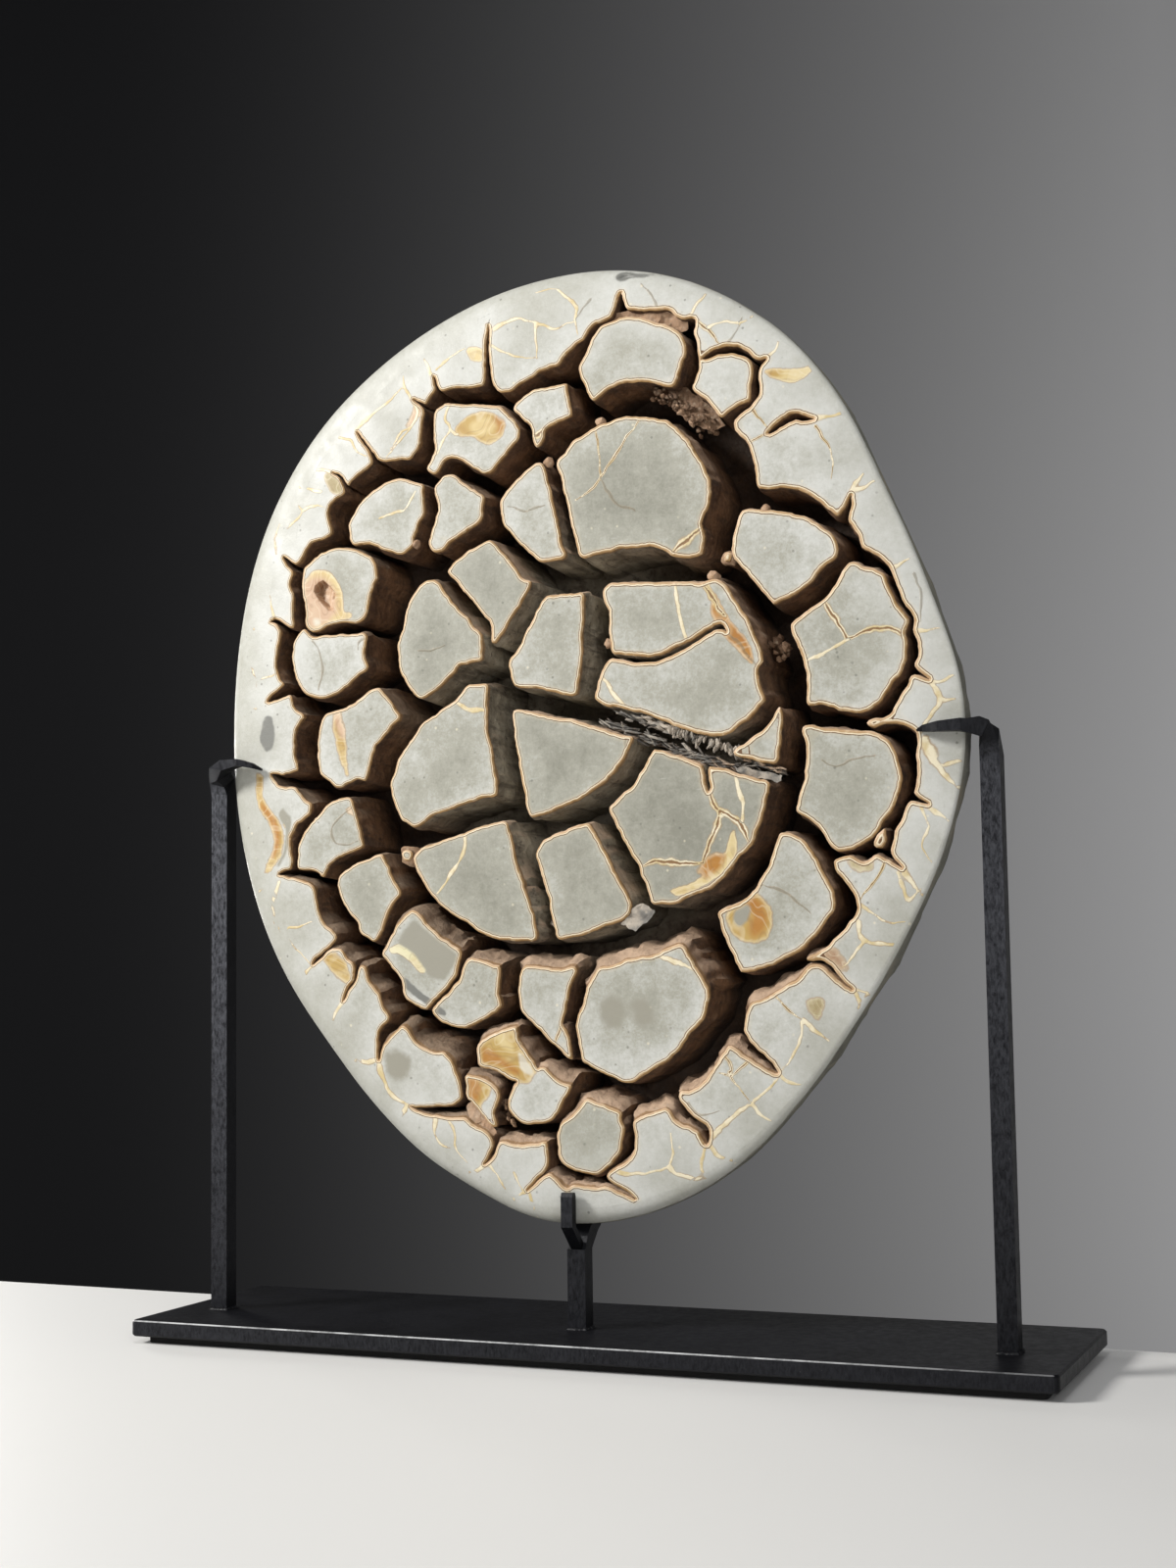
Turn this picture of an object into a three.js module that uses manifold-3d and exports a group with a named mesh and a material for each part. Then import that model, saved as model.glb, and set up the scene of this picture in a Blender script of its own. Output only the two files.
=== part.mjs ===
// A septarian nodule on its stand.
//
// The stone is the half of a flattened, egg-shaped concretion: a polished flat face in front, a rough
// rounded rind behind. Shrinkage cracks part the face into a border ring and some forty polygonal blocks.
// The cracks are open channels with flat-topped blocks standing between them. It is one piece of rock.
// The stand is black steel: a plate on a felt pad, two side bars whose tops bend into pointed prongs that
// hold the face, and a centre post with a small cradle under the stone's lowest point.
//
// Frame: millimetres, +Z up, +X to the right and -Y towards the viewer, who looks at the polished face.
// The origin is the middle of the pad's underside.

import * as THREE from 'three';
import { mergeVertices } from 'three/addons/utils/BufferGeometryUtils.js';
import Module from 'manifold-3d';

const wasm = await Module();
wasm.setup();

// ---------------------------------------------------------------- stand, driving dimensions

const PLATE = { length: 500, depth: 134, thickness: 8.5, corner: 3, bevel: 1 };
const PAD = { inset: 7, thickness: 4, corner: 3 };
const PLATE_TOP = PAD.thickness + PLATE.thickness;
const BAR = 10;
const BAR_Y = -16;
const POST = { x: -6, top: 53.5 };

// The side bars' centre lines, from the plate up and round into the prongs: x, y, z, then the
// section's depth and width there.
const LEFT_BAR = [
  [-223, BAR_Y, PLATE_TOP, BAR, BAR], [-223, BAR_Y, 300, BAR, BAR], [-222.5, -19, 308, BAR, BAR],
  [-219.5, -25.5, 313, 9.4, 9], [-212, -31.3, 315.5, 8, 6], [-202, -33, 316.2, 7, 3.8],
  [-194.5, -31, 314.3, 4, 2.8], [-190, -28.2, 312, 1, 1],
];
const RIGHT_BAR = [
  [217.5, BAR_Y, PLATE_TOP, BAR, BAR], [217.5, BAR_Y, 300, BAR, BAR], [217.3, -20, 308.5, BAR, BAR],
  [215, -28, 313, 9, 9], [206, -33.3, 313.8, 8, 6], [196, -33.3, 313.6, 6.6, 4.8],
  [188, -30.8, 313.2, 3.8, 3.4], [183.6, -28.2, 312.8, 1, 1],
];

const FACE_Y = -27;
// The cradle's finger, which stands just clear of the face, and its arm's side outline, [y, z], from the
// post back along the stone's underside and forwards again.
const FINGER = { back: FACE_Y - 0.65, thickness: 5, width: 6.4, foot: 66, tip: 83.5, chamfer: 2 };
const ARM_OUTLINE = [
  [-20, POST.top], [-11, POST.top], [-3, 61.5], [3.4, 65.6], [15.3, 76], [22.2, 86.4],
  [19, 88.6], [12.6, 78.9], [0.6, 68.7], [-12.8, 64.9], [-17, 60],
];

// ---------------------------------------------------------------- stone, driving dimensions

const BACK_Y = 58;
const STONE_CENTRE = [-3, 320];
const RIM_STEPS = 84;
const ROUNDING_ANGLES = [0, 30, 60, 90];
// How far out each ring of the domed back lies, as a share of the rim, and how boxy the dome is.
const DOME_REACHES = [1, 0.985, 0.945, 0.87, 0.76, 0.62, 0.45, 0.27, 0.1];
const DOME_POWER = 2.4;
// The even oval that the dome's rings turn into towards the middle of the back.
const DOME_RADII = [212, 253];
const LUMP_HEIGHT = 2.2;
const FLATNESS = 0.35;
// The cracks end in a bowl-shaped floor: its depths, its steps from edge to middle, and its share of
// the rim's size.
const CHANNEL_DEPTH_AT_RIM = 16;
const CHANNEL_DEPTH_AT_CENTRE = 52;
const BOWL_STEPS = 4;
const BOWL_REACH = 0.985;
// How far a solid that cuts the face stands out in front of it.
const PROUD = 4;

// Widest outline of the stone in the plane of the face, [x, z], clockwise from the top.
const RIM_OUTLINE = [
  [5, 573], [40, 568.5], [70, 557.5], [100, 539], [125, 517], [150, 482.5], [168, 442.5],
  [182, 410], [195, 373.5], [204, 346], [207.3, 322], [207, 303], [202, 276], [191, 244],
  [172, 207], [147, 168], [120, 133], [91, 103], [60, 82.5], [30, 71], [-5, 65.5],
  [-35, 69], [-65, 82.5], [-95, 99], [-127, 127], [-154, 158.5], [-180, 193], [-199, 230],
  [-211, 270], [-216.5, 305], [-217.3, 340], [-214.5, 380], [-206, 422], [-190, 462],
  [-163, 501], [-131, 529.5], [-92, 552.5], [-45, 568.5],
];

// Rounding of the face's edge at points round the rim: direction in degrees (0 right, 90 up),
// width across the face, depth into the stone, and depth of the steep rind behind it.
const RIM_ROUNDING = [
  { at: 0, width: 2, depth: 2, rind: 15 },
  { at: 50, width: 3, depth: 3, rind: 13 },
  { at: 85, width: 9, depth: 8, rind: 8 },
  { at: 120, width: 17, depth: 10, rind: 5 },
  { at: 180, width: 24, depth: 12, rind: 4 },
  { at: 225, width: 14, depth: 10, rind: 5 },
  { at: 268, width: 9, depth: 8, rind: 6 },
  { at: 315, width: 3, depth: 3, rind: 14 },
];

// Outer edge of the cracked area, [x, z], clockwise. The narrow tongues are radial cracks that run out
// into the border ring, so the border between them stands as lobes.
const CRACKED_AREA = [
  // left side, going up
  [-178.6, 433.6], [-176, 432], [-173, 429.5], [-171, 427.3], [-168.5, 426.3],
  [-166, 428.5], [-164, 431.5], [-162, 435], [-159, 438.5], [-155, 439.3], [-149, 440.2],
  [-145.5, 442], [-146, 446], [-147, 449], [-148.7, 453], [-148, 457], [-144, 461.5],
  [-140, 463], [-137, 464.5], [-139.5, 471], [-142.5, 475], [-147, 477.5], [-141.5, 476],
  [-138, 472.3], [-135.5, 467.5], [-135, 469], [-132, 472], [-128, 475], [-123, 477],
  [-118.8, 479.5], [-121, 484], [-124, 488], [-126.3, 492], [-129, 496], [-131, 500],
  [-128.2, 496.3], [-124.8, 492.5], [-121.8, 487.5], [-118.5, 483.5], [-116, 481],
  [-114, 479.6], [-110, 479], [-105, 480], [-101, 479.5], [-98, 478.5], [-95.5, 479.5],
  [-93.5, 482.5], [-91, 484.5], [-89.5, 489], [-89.5, 495], [-88, 501], [-87, 505.5],
  [-89.5, 508.3], [-92.5, 510.5], [-95, 513], [-91.5, 511.7], [-88.5, 510], [-86, 508.5],
  [-85, 512], [-82, 514.5], [-80.3, 516], [-81, 520], [-82.8, 525], [-80.5, 522],
  [-79, 518.5], [-78, 515.3],
  // top, going right
  [-75, 514.7], [-70, 516], [-65, 516], [-60, 515.3], [-55, 514.5], [-51, 515], [-50, 519],
  [-49.8, 525], [-49.6, 532], [-49.7, 540], [-48.3, 549.5], [-48, 540], [-47.8, 533],
  [-47.5, 527], [-46.7, 520], [-46.3, 515.5], [-44, 512], [-41, 510], [-37, 509.5],
  [-34, 510], [-32, 512], [-27, 514.5], [-23, 515.5], [-20, 517.5], [-16, 519.5],
  [-11, 520.3], [-7, 520], [-4.5, 522.5], [-3, 525], [0, 527.5], [3, 530], [6.5, 532],
  [9, 533.5], [11, 536.8], [13.3, 540], [16.5, 540.8], [21, 541.3], [24.5, 543], [26.5, 549],
  [29.5, 556.5], [31, 551], [32.5, 546], [40, 545], [48, 543.3], [55, 542.8], [58, 541],
  [61, 537.8], [65, 536.2], [70, 536.8], [72.5, 535], [71, 531], [70.5, 528.5], [72, 525],
  [72.5, 520.5], [72.3, 517], [73.2, 513.5], [77, 515.3], [81, 517.6], [85, 518.8],
  [89, 519], [94, 517.5], [99, 514.5], [102, 511.3], [104, 509.8], [107, 509.3],
  [110.5, 510.2], [107, 507], [105.7, 504], [105.5, 497], [106.2, 492.5], [105, 489],
  // right side, going down
  [102, 487], [98, 484.5], [95, 482], [91.5, 477.7], [92, 475], [94, 471.5], [97, 469],
  [99.5, 466.5], [101, 460], [102.5, 455], [103, 450], [102.5, 445], [103.7, 442],
  [109, 441.2], [115, 441.5], [120, 441], [125, 439.5], [130, 437], [135, 433.5],
  [140, 429], [144, 425], [145.5, 423.3], [148, 426.3], [151, 430.3], [153, 435.5],
  [153.2, 430], [152, 425], [150.3, 421], [151.5, 419], [154, 416.5], [156.5, 413],
  [157, 409], [158.5, 406], [163, 403.5], [167, 401], [170, 398], [172.5, 394],
  [174, 389], [176, 382], [179, 376], [182, 372], [183, 369], [182.3, 365], [182, 361.5],
  [184.7, 359], [185.3, 354], [185, 350], [182.2, 345.3], [186, 341], [190.5, 337.3],
  [186, 339.3], [183, 340.8], [180.5, 340.3], [180, 336], [176, 331], [174, 327],
  [171, 322.5], [167, 320.3], [161, 320.5], [157.5, 319], [158, 316.7], [161.5, 315.4],
  [166, 317.3], [170, 317.4], [175, 316.5], [180, 314.5], [183, 312], [183.2, 305],
  [182.3, 300], [183, 295], [182.5, 290], [181.5, 285], [180.5, 281.7], [184.5, 279.8],
  [188.5, 275.8], [184, 277.8], [179.5, 279], [178, 278], [177, 275], [174, 269],
  [171, 264], [170, 259], [168, 252.3], [171, 249], [174.5, 244.8], [170, 247.3],
  [166, 250], [161, 253], [157, 249.5], [153, 248.8], [150.3, 250.5], [148.5, 252.2],
  [145, 251.8], [142, 251.5], [139, 250.2], [140, 246], [143, 241], [146, 237],
  [149.5, 232.5], [150.7, 229], [150.5, 224], [148, 221], [144, 216], [139, 211.5],
  [134, 207], [129, 204], [124, 202.7], [123, 200.8], [127, 200.5], [130.5, 201.2],
  [134, 200.2], [137, 197.7], [140, 193.7], [144, 189.8], [148.3, 185.8], [144, 188],
  [140, 190.7], [136.5, 194.2], [133.5, 197.6], [130, 199.2], [125, 198.6], [123, 196],
  // bottom, going left
  [120, 192.5], [113, 188.5], [107, 184.8], [103, 182.3], [98, 181.3], [94, 179.7],
  [93, 176], [91, 171], [89.3, 166], [94, 160], [100, 154], [105, 149.5], [108.3, 144.5],
  [104, 145.2], [100, 148], [95, 150.6], [90, 154], [85, 158], [81.7, 159.3], [79, 155],
  [75, 149], [70, 142], [65, 137.8], [60, 136], [54.3, 134.8], [55, 131], [59, 126],
  [63, 122], [67, 120], [69.5, 118.7], [71, 115], [70.3, 110], [68.8, 107.5], [67, 111],
  [65.5, 115], [62, 118], [57, 119], [53, 121], [50, 125], [48, 128], [45, 127],
  [41, 125], [35, 123.5], [30, 121], [29, 119], [30, 115], [30.5, 110], [29.5, 105],
  [26, 100], [21, 97], [17, 95], [13.5, 91.7], [14.5, 89.8], [18, 88.3], [23, 85.2],
  [28.5, 82.3], [30.3, 79.8], [25, 82.3], [20, 84.3], [16, 86], [13, 86.6], [8, 86],
  [3, 86.5], [-3, 86.5], [-6, 87], [-8.3, 84.5], [-10, 86.5], [-12, 88], [-14, 90.3],
  [-16, 92.3], [-19, 93], [-22.5, 90], [-27, 86.3], [-32, 82.8], [-28, 87.3], [-24, 91],
  [-20, 94.5], [-18, 96], [-18.5, 102], [-19, 110], [-22, 109], [-25, 108.2],
  [-30, 107.6], [-35, 107.3], [-40, 107.8], [-44, 109], [-47, 108], [-48, 105],
  [-49.5, 102], [-52.5, 98.7], [-56.5, 95.7], [-54.5, 99], [-51.5, 102.5], [-50, 105],
  [-50.5, 109], [-53, 113], [-56, 115], [-60, 116.5], [-64, 119.5], [-66, 121],
  [-70, 120.6], [-75, 120.6], [-80, 121.5], [-88, 122.2], [-93, 123], [-97, 124.5],
  [-100, 126], [-119, 150.5], [-118.8, 155], [-118.2, 162], [-118, 166], [-116.5, 169],
  // left side, going up
  [-113, 171], [-111, 174], [-112, 176], [-115.5, 179], [-116, 182], [-116.5, 186.5],
  [-120, 189.5], [-123, 192], [-124.5, 195.5], [-124.8, 198.5], [-126, 201],
  [-128.5, 202.8], [-130.7, 201.3], [-131.3, 197], [-132, 193], [-135, 189.5],
  [-138, 186.3], [-141, 182], [-138.8, 187.4], [-136, 190.7], [-133.2, 194], [-132.7, 198],
  [-133.3, 203.5], [-136, 204.7], [-139, 208], [-140.5, 211.3], [-145, 212.2],
  [-149, 210.7], [-153, 207.5], [-157, 204], [-160.5, 202.3], [-158, 205.5],
  [-154, 208.8], [-150, 211.7], [-146, 214.3], [-143.3, 217], [-144, 220], [-147, 221.5],
  [-151, 224], [-154, 229], [-156, 235], [-156.8, 240], [-157.5, 245], [-160, 247.5],
  [-165, 249.8], [-170, 251], [-175, 252], [-179, 252.2], [-182.5, 253],
  [-180, 254.6], [-175, 255.8], [-172.3, 256.5], [-172, 260],
  [-172.8, 264], [-173.2, 269], [-173, 273], [-171.5, 277], [-170, 280], [-167, 281.7],
  [-163, 284], [-160.5, 286], [-159.5, 288.5], [-159, 291.5], [-162, 292.7],
  [-165, 295], [-167, 298], [-168.5, 301.3], [-172, 301.9], [-176, 301.6],
  [-180, 302.6], [-183, 305], [-187.5, 309.6], [-183, 309.7],
  [-180, 308.9], [-176, 309.2], [-171, 309.5], [-167.5, 311], [-168.5, 315],
  [-169.8, 319], [-170, 325], [-170, 329], [-168.5, 334], [-166.5, 338], [-163.7, 340.7],
  [-165, 343], [-168, 344.7], [-170.5, 347], [-172, 350.5], [-172.8, 354], [-175, 353.3],
  [-180, 351.8], [-185, 350.4], [-189, 350], [-185, 353.8],
  [-180, 357.3], [-176.5, 359.5], [-180, 362], [-181.5, 366], [-182.2, 371], [-182, 378],
  [-180.5, 383], [-179.6, 389], [-180.5, 392], [-182, 394.3], [-184.5, 395.2],
  [-187, 394.9], [-184, 397.3], [-180.5, 396.3],
  [-177.5, 394.3], [-174, 391.3], [-170.5, 390.3], [-171, 395], [-171.3, 400],
  [-171, 406], [-171.2, 411], [-172.7, 413.5], [-173.2, 417], [-171.5, 420.3],
  [-171, 423.3], [-173, 424.7], [-175.3, 427.2], [-176.5, 430],
];

// A crack of its own in the right border, closed off from the others by calcite.
const LONE_CRACK = [
  [109, 470.3], [113, 474.3], [118, 477.8], [122, 479.4], [127, 478.9], [131, 476.8],
  [135.5, 475], [131, 475], [125, 475.9], [120, 474.2], [115, 472.2], [111, 470],
];

// Outline of every block that stands inside the cracked area, [x, z].
const BLOCKS = {
  crown: [
    [4.5, 518.5], [8, 523], [10, 527.5], [13, 533], [15.5, 536.5], [17.5, 538.8], [25, 541],
    [31, 542], [40, 541], [44, 539], [50, 537], [55, 535], [59, 532.5], [62, 530],
    [64.7, 526.5], [66.7, 522], [66.2, 517.5], [64.5, 513], [62, 507], [59.5, 501],
    [56, 501.5], [50, 503.5], [45, 505], [40, 506], [35, 506.2], [29, 505.8], [23, 504.2],
    [18, 501.5], [13, 498.5], [11.5, 500.5], [10, 505], [8.5, 508.5], [6.5, 511], [5, 515],
  ],
  right_shoulder: [
    [69, 498.5], [71, 503], [72.5, 507], [73.2, 513.6], [76, 512.7], [80, 514], [85, 515.2],
    [89, 515.2], [94, 514], [99, 511.5], [102, 509.3], [102.5, 505], [101.5, 499],
    [101, 495], [101.3, 491], [100, 488.2], [96, 487.5], [93, 485.5], [89, 483.5],
    [84.5, 481.5], [81.5, 485], [78, 489.5], [75, 493.5], [71, 496.7],
  ],
  top_wedge: [
    [-34.5, 500], [-32, 503], [-28, 505.5], [-23, 508.2], [-18, 509.5], [-11, 510.2],
    [-5, 510.5], [-1.5, 510.5], [-1.8, 505], [-0.5, 500], [1, 495], [1.5, 492.5],
    [-5, 490.5], [-10, 489], [-15, 487], [-16, 482], [-18, 477.8], [-20, 476.7],
    [-22, 479], [-23, 483], [-22.5, 486.5], [-23.5, 490], [-27, 493.5], [-31, 497],
  ],
  agate_block: [
    [-81.5, 501], [-80.5, 505], [-77, 507], [-74, 508], [-70, 506.8], [-60, 506],
    [-49, 504.5], [-43, 503], [-38, 499.5], [-36.5, 496.5], [-33, 493.5], [-29.5, 489],
    [-30.5, 482], [-35, 479], [-39, 475.5], [-43, 471.5], [-47, 467], [-50, 466],
    [-54, 467.5], [-59, 471], [-63, 474], [-67, 476.5], [-71, 477.2], [-75, 476.2],
    [-77, 474], [-78.5, 470], [-81, 468.8], [-84, 470.5], [-86.7, 473.2], [-84, 477.5],
    [-82, 480.5], [-81.2, 485], [-82, 492],
  ],
  upper_left: [
    [-128, 458], [-125, 460.5], [-120, 464], [-115, 466.5], [-110, 468.5], [-105, 469.2],
    [-100, 468.5], [-95, 466.5], [-91, 464.8], [-88, 464.2], [-88.5, 460], [-88.2, 455],
    [-87.5, 448.5], [-91, 442], [-93.5, 438.5], [-95, 435], [-93.8, 431.5], [-96, 429.5],
    [-100, 427], [-103, 426], [-107, 427.5], [-112, 430], [-117, 432], [-122, 434],
    [-127, 434.8], [-132, 434], [-134, 437], [-135, 441], [-135.5, 446], [-134, 449.7],
    [-132, 453], [-130, 456],
  ],
  upper_middle_left: [
    [-70, 467.7], [-73, 468.2], [-76.5, 467], [-80, 464], [-82, 462], [-82, 459],
    [-80.5, 455], [-79.5, 448], [-82, 441], [-85, 436], [-85.7, 431], [-83.5, 427.5],
    [-80, 425], [-76, 427], [-73, 430], [-69, 432.5], [-65, 434.5], [-60, 437],
    [-55, 439], [-53.3, 440.3], [-52.5, 442], [-52.8, 446], [-52.5, 451], [-51.3, 453.7],
    [-56, 456.5], [-60, 459.5], [-63, 462], [-67, 465.5],
  ],
  upper_middle: [
    [-18, 469.5], [-19.5, 469.5], [-23, 467.3], [-27, 465.5], [-31, 462], [-36, 457.5],
    [-40, 454], [-42.5, 450], [-42.5, 445], [-40, 437], [-36, 432], [-32, 427],
    [-27, 422], [-23, 418], [-19, 414.5], [-14, 415], [-9, 415], [-5, 415.5], [-4, 418],
    [-6, 423], [-7.5, 430], [-8.5, 437], [-10, 442], [-11.3, 448], [-12.5, 455],
    [-14.5, 461], [-16, 467],
  ],
  largest: [
    [-9, 467.5], [-7, 470.5], [-4, 472], [-1, 476], [1, 478.5], [6, 481], [11, 483],
    [18, 485.5], [23, 487], [29, 488.2], [35, 488], [40, 487.5], [45, 486.2], [50, 484.5],
    [55, 483.5], [58, 481.5], [62, 477.7], [66, 472.3], [70, 465.7], [74, 459], [77, 452.5],
    [78.5, 447], [78, 440], [76, 434], [73, 429], [72.5, 425], [74.5, 421], [74, 416],
    [73.5, 410.5], [70, 410], [65, 409.5], [60, 410], [56, 411], [54, 413.5], [50, 416],
    [45, 417.5], [37, 418], [30, 418.5], [25, 418.5], [24, 417], [17, 416.5], [12, 415],
    [8, 414.2], [4, 415], [2.5, 420], [1.5, 425], [0.5, 431], [-1, 438], [-3, 447],
    [-4.5, 453], [-6, 459], [-8, 464],
  ],
  kite: [
    [-74.5, 414.5], [-70, 419], [-65, 422.5], [-60, 425.5], [-55, 428], [-50, 429.8],
    [-48, 430], [-45, 427], [-40, 421.5], [-35, 415.5], [-31, 410], [-28.5, 406.5],
    [-26, 406], [-23.5, 404.5], [-25, 401], [-28, 397], [-32, 392], [-35.5, 387],
    [-39, 381], [-43, 375.3], [-45, 373], [-48, 372.5], [-48.3, 378], [-48, 384],
    [-50.5, 387], [-55, 392], [-60, 397], [-65, 403], [-70, 409],
  ],
  peach_block: [
    [-165, 421], [-164.7, 423.3], [-161, 426], [-157, 429.5], [-153, 432], [-147, 433.5],
    [-141, 434], [-135, 433], [-129, 431.5], [-125, 429], [-121, 426.5], [-119, 424.5],
    [-118.5, 421], [-116.5, 415.5], [-120, 411], [-121.5, 406], [-122.5, 400],
    [-123.5, 396], [-126, 392], [-130, 390.2], [-136, 391.5], [-142, 391.8],
    [-148, 391.5], [-151, 390], [-154, 388], [-158, 387.8], [-162, 390], [-163.2, 394],
    [-162.5, 400], [-164, 406], [-165, 412],
  ],
  left_low_square: [
    [-171.5, 373], [-171.2, 378], [-170.5, 382], [-169, 386], [-166, 389], [-164, 390.8],
    [-162, 389], [-160, 386.5], [-156, 384.7], [-151, 385.5], [-145, 385.5], [-139, 385],
    [-133, 384], [-128, 384.5], [-125, 385.2], [-123.3, 383.5], [-125, 379],
    [-125.5, 374], [-124.5, 369], [-122.5, 365], [-125, 363], [-129, 362], [-132, 359.5],
    [-136, 356], [-141, 353], [-146, 351], [-151, 350], [-156, 350.5], [-161, 351.5],
    [-164, 354], [-167, 358], [-169.5, 363], [-171, 368],
  ],
  left_middle: [
    [-85, 411.8], [-89, 410], [-93, 406.5], [-97, 401], [-99.5, 396], [-100.5, 390],
    [-101.5, 385], [-104, 380], [-105.2, 376], [-105, 370], [-104.5, 365], [-103, 360],
    [-100, 355], [-96, 350], [-93, 347], [-89.5, 345.5], [-85, 348], [-80, 351.5],
    [-75, 354.7], [-71, 358.3], [-69, 362], [-67, 363.5], [-63, 363.2], [-58, 364],
    [-53.5, 364.5], [-53.2, 366], [-54, 370], [-53.5, 375], [-54.5, 379], [-57, 381.5],
    [-60, 385], [-65, 391], [-70, 396.5], [-75, 402.5], [-80, 409.5],
  ],
  centre: [
    [-15, 396.5], [-5, 396.5], [1, 396.3], [6.5, 396.5], [6.5, 392], [5.8, 385],
    [5.5, 378], [5.2, 370], [4.5, 362], [3.5, 354], [2.5, 347], [1.5, 341.5], [-2, 341.8],
    [-7, 343], [-13, 345], [-19, 346.5], [-25, 347.5], [-30, 348.5], [-35, 349.2],
    [-36.5, 351.5], [-37, 357], [-38, 362], [-36.5, 365], [-34, 367.5], [-31, 372],
    [-28, 378], [-25, 383], [-22, 388], [-19, 392.5], [-17, 395.2],
  ],
  streak_block: [
    [17, 398], [21, 400], [25, 400.3], [31, 400.5], [33.5, 399.2], [40, 398.5],
    [47, 398.3], [55, 398], [63, 397.5], [71, 396], [76, 397], [81, 398], [85, 394],
    [89, 388], [93, 382], [96, 377], [99, 371], [101.5, 365], [103, 360], [105, 354],
    [105.5, 352.5], [101, 349.5], [99, 351], [96, 356], [93, 361], [89, 366], [85.5, 370],
    [83.5, 374], [80, 374], [75, 371.7], [70, 369], [65, 366.3], [60, 364], [55, 362],
    [50, 360.3], [45, 359.8], [40, 359.7], [35, 360.2], [29, 361.2], [22, 362.2],
    [21.5, 365], [20.5, 370], [20.8, 376], [20.5, 382], [20, 386], [17.5, 390], [17, 394],
  ],
  right_centre: [
    [21, 360.3], [27, 358.7], [35, 357], [41, 356.5], [48, 357], [55, 359], [60, 361],
    [65, 363.3], [71, 366.8], [76, 369.8], [80, 371.3], [84, 371], [88, 367.5],
    [92, 363], [95, 358.5], [98, 353.5], [101.5, 350], [102, 344], [102.5, 340],
    [104, 336], [105.5, 332.5], [103, 330], [100, 328], [97, 324.5], [94, 322],
    [90, 319.5], [86, 316.7], [83, 315.5], [79, 315.5], [75, 316], [71, 317.5],
    [67, 318], [63, 320], [58, 321.5], [54, 323], [52, 325], [45, 328], [40, 330],
    [35, 331], [29, 333], [24, 334.5], [19, 335], [15, 337], [12, 339], [11.5, 341],
    [12.5, 345], [13.5, 349], [15, 352], [17, 356], [19, 358.7],
  ],
  right_upper: [
    [95, 431.7], [99, 432.3], [105, 431.5], [112, 430], [119, 428.5], [125, 426.7],
    [130, 424.5], [135, 421], [139, 418], [142, 416], [144, 412.5], [145.5, 409],
    [145.8, 406], [144.5, 403], [141, 401], [137, 398.5], [134, 395.5], [132, 392],
    [129, 389], [124, 387], [119, 385], [114, 382.5], [111, 381], [109, 383], [107, 386],
    [103, 391], [99, 396], [95, 401], [91, 406], [89, 409], [88.8, 412], [90, 416],
    [90.5, 421], [92, 426], [93.5, 429.5],
  ],
  right_middle: [
    [152, 400.5], [149.5, 399], [146, 394], [143.5, 390], [141, 385.5], [137, 381.5],
    [134, 380.5], [129, 377], [125, 374.5], [119.5, 371], [120, 367], [122.5, 362],
    [124.5, 356], [126, 351], [127.5, 345], [127.8, 339], [127.5, 335], [127, 330],
    [129, 328.5], [135, 329.5], [140, 327.5], [145, 325], [151, 323.5], [156, 323.2],
    [160, 324.5], [164, 328], [168, 333], [172, 337], [176, 342], [178.5, 348],
    [179.8, 354], [179.8, 359], [178, 361.3], [180, 365], [180.3, 370], [177, 374],
    [174.5, 378], [172, 384], [170, 389], [169.5, 392], [166, 394.5], [161, 397],
    [157, 398.5],
  ],
  right_lower: [
    [124.5, 319], [130, 319.2], [135, 317], [143, 316], [150, 315], [157, 314.7],
    [161, 314], [165, 312], [169, 308.5], [171.5, 304], [173.5, 298], [175, 291],
    [175, 286], [173, 281], [171, 277], [168, 273], [165, 269], [163, 265], [160, 261.5],
    [156, 259], [151, 256], [147, 254.5], [144, 253.7], [140, 255.5], [137, 258],
    [134, 264], [130, 269], [126, 272], [122, 274], [119.8, 275.5], [121, 280],
    [123, 285], [124.5, 290], [125.5, 296], [126, 302], [126, 308], [124.5, 314],
  ],
  left_streak_block: [
    [-150, 341.5], [-145, 342.5], [-140, 343.2], [-135, 345.5], [-130, 347.5],
    [-126, 350.5], [-122, 353], [-118, 354.2], [-116, 353.5], [-113, 349.5],
    [-109, 345], [-106, 341], [-103.5, 337.5], [-104, 335.5], [-107, 333], [-110, 331],
    [-113, 328], [-116, 324], [-119, 322.5], [-120, 319], [-121.5, 314], [-123, 309],
    [-124, 304], [-125.5, 302], [-128, 303.5], [-130, 304.5], [-133, 303.5],
    [-137, 301.5], [-141, 300], [-144, 300.2], [-147, 302], [-150, 304.5], [-153, 307],
    [-154.5, 310], [-155.2, 315], [-155.3, 323], [-154.5, 330], [-153, 335], [-152, 339],
  ],
  left_centre: [
    [-99, 321.5], [-97, 324.5], [-93, 329], [-89, 333], [-84, 336], [-79, 339],
    [-75, 341.5], [-70, 344.3], [-67, 347.5], [-64, 350.5], [-61, 352], [-55, 352],
    [-50.5, 351.5], [-50.7, 345], [-51, 335], [-50.5, 325], [-48.5, 317], [-47.5, 310],
    [-46, 303], [-45, 296], [-45, 291], [-50, 290.5], [-55, 289.8], [-60, 289],
    [-65, 287.5], [-70, 286], [-75, 284.7], [-80, 283.5], [-85, 282], [-89, 279.5],
    [-93, 276.5], [-95, 276], [-99, 277.5], [-103, 279.5], [-105, 283], [-106.5, 288],
    [-108.5, 293], [-110, 297.5], [-110.5, 300], [-109, 304], [-107, 309], [-105, 314],
    [-102, 318.5],
  ],
  centre_lower: [
    [-36.5, 334], [-35, 336], [-32, 336.5], [-28, 335], [-22, 333.5], [-15, 332],
    [-7, 330.5], [0, 329], [7, 326.5], [13, 324], [19, 322], [25, 320], [29, 319.2],
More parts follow.
